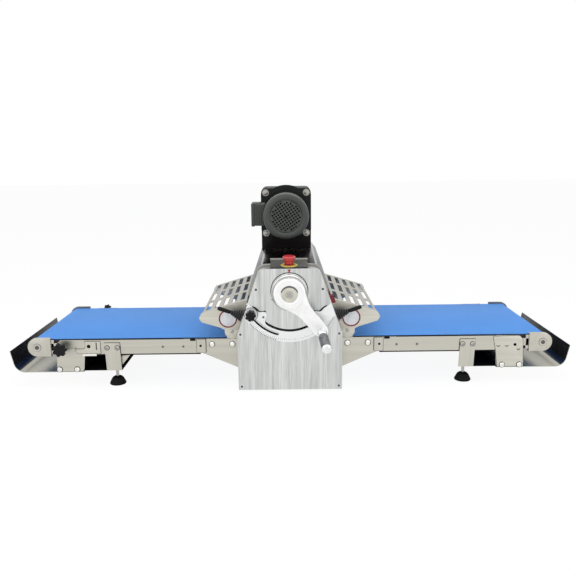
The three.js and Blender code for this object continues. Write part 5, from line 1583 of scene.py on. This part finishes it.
def add_left_hanger():
    """A bent adjuster plate with a hole and a slot drawn in black painted shade, and a bright strip below it.
    """
    near, far = RAIL_FRONT - 1.8, RAIL_FRONT - FACE_GAP
    plate = plate_mesh(list(ADJUSTER_OUTLINE), [ring_points(*ADJUSTER_HOLE, 6.0, 24)], near, far, 0.5)
    mesh_piece("adjuster_plate_left", plate, cheek_steel)
    shadow_outline("adjuster_shadow_line_left", [ADJUSTER_OUTLINE], RAIL_FRONT)
    # Painted shade: a black disc behind the hole.
    rings("adjuster_hole_shadow_left", [((ADJUSTER_HOLE[0], RAIL_FRONT, ADJUSTER_HOLE[1]), FRONT)], 0.0, 6.8, 0.2,
          mark_and_shade_black)
    # Painted shade: a black slot on the plate's face.
    left, right, bottom, top = ADJUSTER_SLOT
    slot = plate_mesh(rounded_box(left, right, bottom, top, 1.2), [], near - 0.25, near, 0.05)
    mesh_piece("adjuster_slot_shadow_left", slot, mark_and_shade_black)
    left, right, bottom, top = ADJUSTER_STRIP
    strip = block_mesh((left, near, bottom), (right, far, top), 0.5)
    mesh_piece("adjuster_strip_left", strip, bright_bolt)
    hanger_bolts("left", HANGER_BOLTS_LEFT)


def yoke_half(side, turned):
    """One half of the end block with its neck and tongue; turned puts it at the back."""
    curve = arc_points(END_X, AXLE_Z, YOKE_RADIUS, -90.0, 90.0, 40)
    back_x = END_X - YOKE_LENGTH
    outline = [*curve, (back_x, AXLE_Z + YOKE_RADIUS), (back_x, AXLE_Z - YOKE_RADIUS)]
    near, far = both_depths(*YOKE_BLOCK_DEPTHS)[turned]
    meshes = [plate_mesh(on_side(outline, side), [], near, far, 1.4)]
    near, far = both_depths(*YOKE_PLATE_DEPTHS)[turned]
    for start, end, height in (YOKE_NECK, YOKE_TONGUE):
        meshes.append(block_mesh((side * (END_X + start), near, AXLE_Z - height / 2.0),
                                 (side * (END_X + end), far, AXLE_Z + height / 2.0), 0.8))
    return join_meshes(meshes)


def yoke_pieces(word, side):
    node = f"end_yoke_{word}"
    mesh_piece(f"end_block_{word}", yoke_half(side, 0), yoke_metal, "machine", [node])
    # The rear block takes the dark copy of the yoke metal as painted shade.
    mesh_piece(f"end_block_rear_{word}", yoke_half(side, 1), yoke_rear_shade, "machine", [node])
    near, far = YOKE_BLOCK_DEPTHS[1] - 6.0, BELT_WIDTH - YOKE_BLOCK_DEPTHS[1] + 6.0
    axle = pin_mesh(AXLE_RADIUS, far - near, 40)
    mesh_piece(f"axle_{word}", facing(axle, side * END_X, far, AXLE_Z), chrome, "machine", [node])
    places = front_and_back([(side * END_X, AXLE_Z)], YOKE_BLOCK_DEPTHS[0])
    rings(f"axle_seats_{word}", places, 0.0, 13.6, 0.3, dark_screw_and_shadow)
    places = front_and_back([(side * END_X, AXLE_Z)], YOKE_BLOCK_DEPTHS[0] - 0.3)
    rings(f"axle_caps_{word}", places, 0.0, 12.5, 1.3, yoke_metal)
    places = front_and_back([(side * END_X, AXLE_Z)], YOKE_BLOCK_DEPTHS[0] - 1.6)
    screws(f"axle_screws_{word}", places, 7.0, 1.5, "button", dark_screw_and_shadow)


COVER_REFLECTION_TOP = 0.985
COVER_REFLECTION_LIMITS = (0.93, 0.62)


def add_top_cover():
    """A polished hood, with painted reflections: grey and dark on its flanks and black on its flat top."""
    bottom = node_box("top_cover")[0].z
    near, far = (node_box("top_cover")[end].y for end in (0, 1))
    mesh = plate_mesh(head_outline(6.0, bottom) + head_outline(3.5, bottom)[::-1], [], near, far, 0.4)
    mesh_piece("cover_sheet", mesh, cover_steel, "machine", ["top_cover"], 30.0)
    for material in (cover_reflection_grey, cover_reflection_dark, cover_reflection_black):
        mesh.materials.append(material)
    # Faces take the painted reflection copies by how steeply they rise.
    for face in mesh.polygons:
        if abs(face.normal.y) > 0.5:
            continue
        rise = abs(face.normal.z)
        face.material_index = sum(rise < limit for limit in COVER_REFLECTION_LIMITS) if rise < COVER_REFLECTION_TOP else 3


add_camera()
add_world()
add_lamps()
add_floor()
dress_nodes()
add_front_plate()
add_index_sector()
add_index_marks()
add_pointer()
add_dial()
add_lever()
add_hub_disc()
add_grip()
add_stop()
add_tension_knob()
add_deck()
add_fan_cover()
add_motor_bolts()
add_terminal_box()
add_gear_case()
add_top_cover()
add_table_bracket()
add_left_hanger()
add_right_hanger()
for side_word, side_sign in SIDES:
    guard_pieces(side_word, side_sign)
    sign_pieces(side_word, side_sign)
    reverse_pieces(side_word, side_sign)
    belt_pieces(side_word, side_sign)
    tray_pieces(side_word, side_sign)
    leg_pieces(side_word, side_sign)
    rail_pieces(side_word, side_sign)
    yoke_pieces(side_word, side_sign)
    for place_word, foot_depth in FOOT_DEPTHS:
        foot_pieces(side_word, side_sign, place_word, foot_depth)
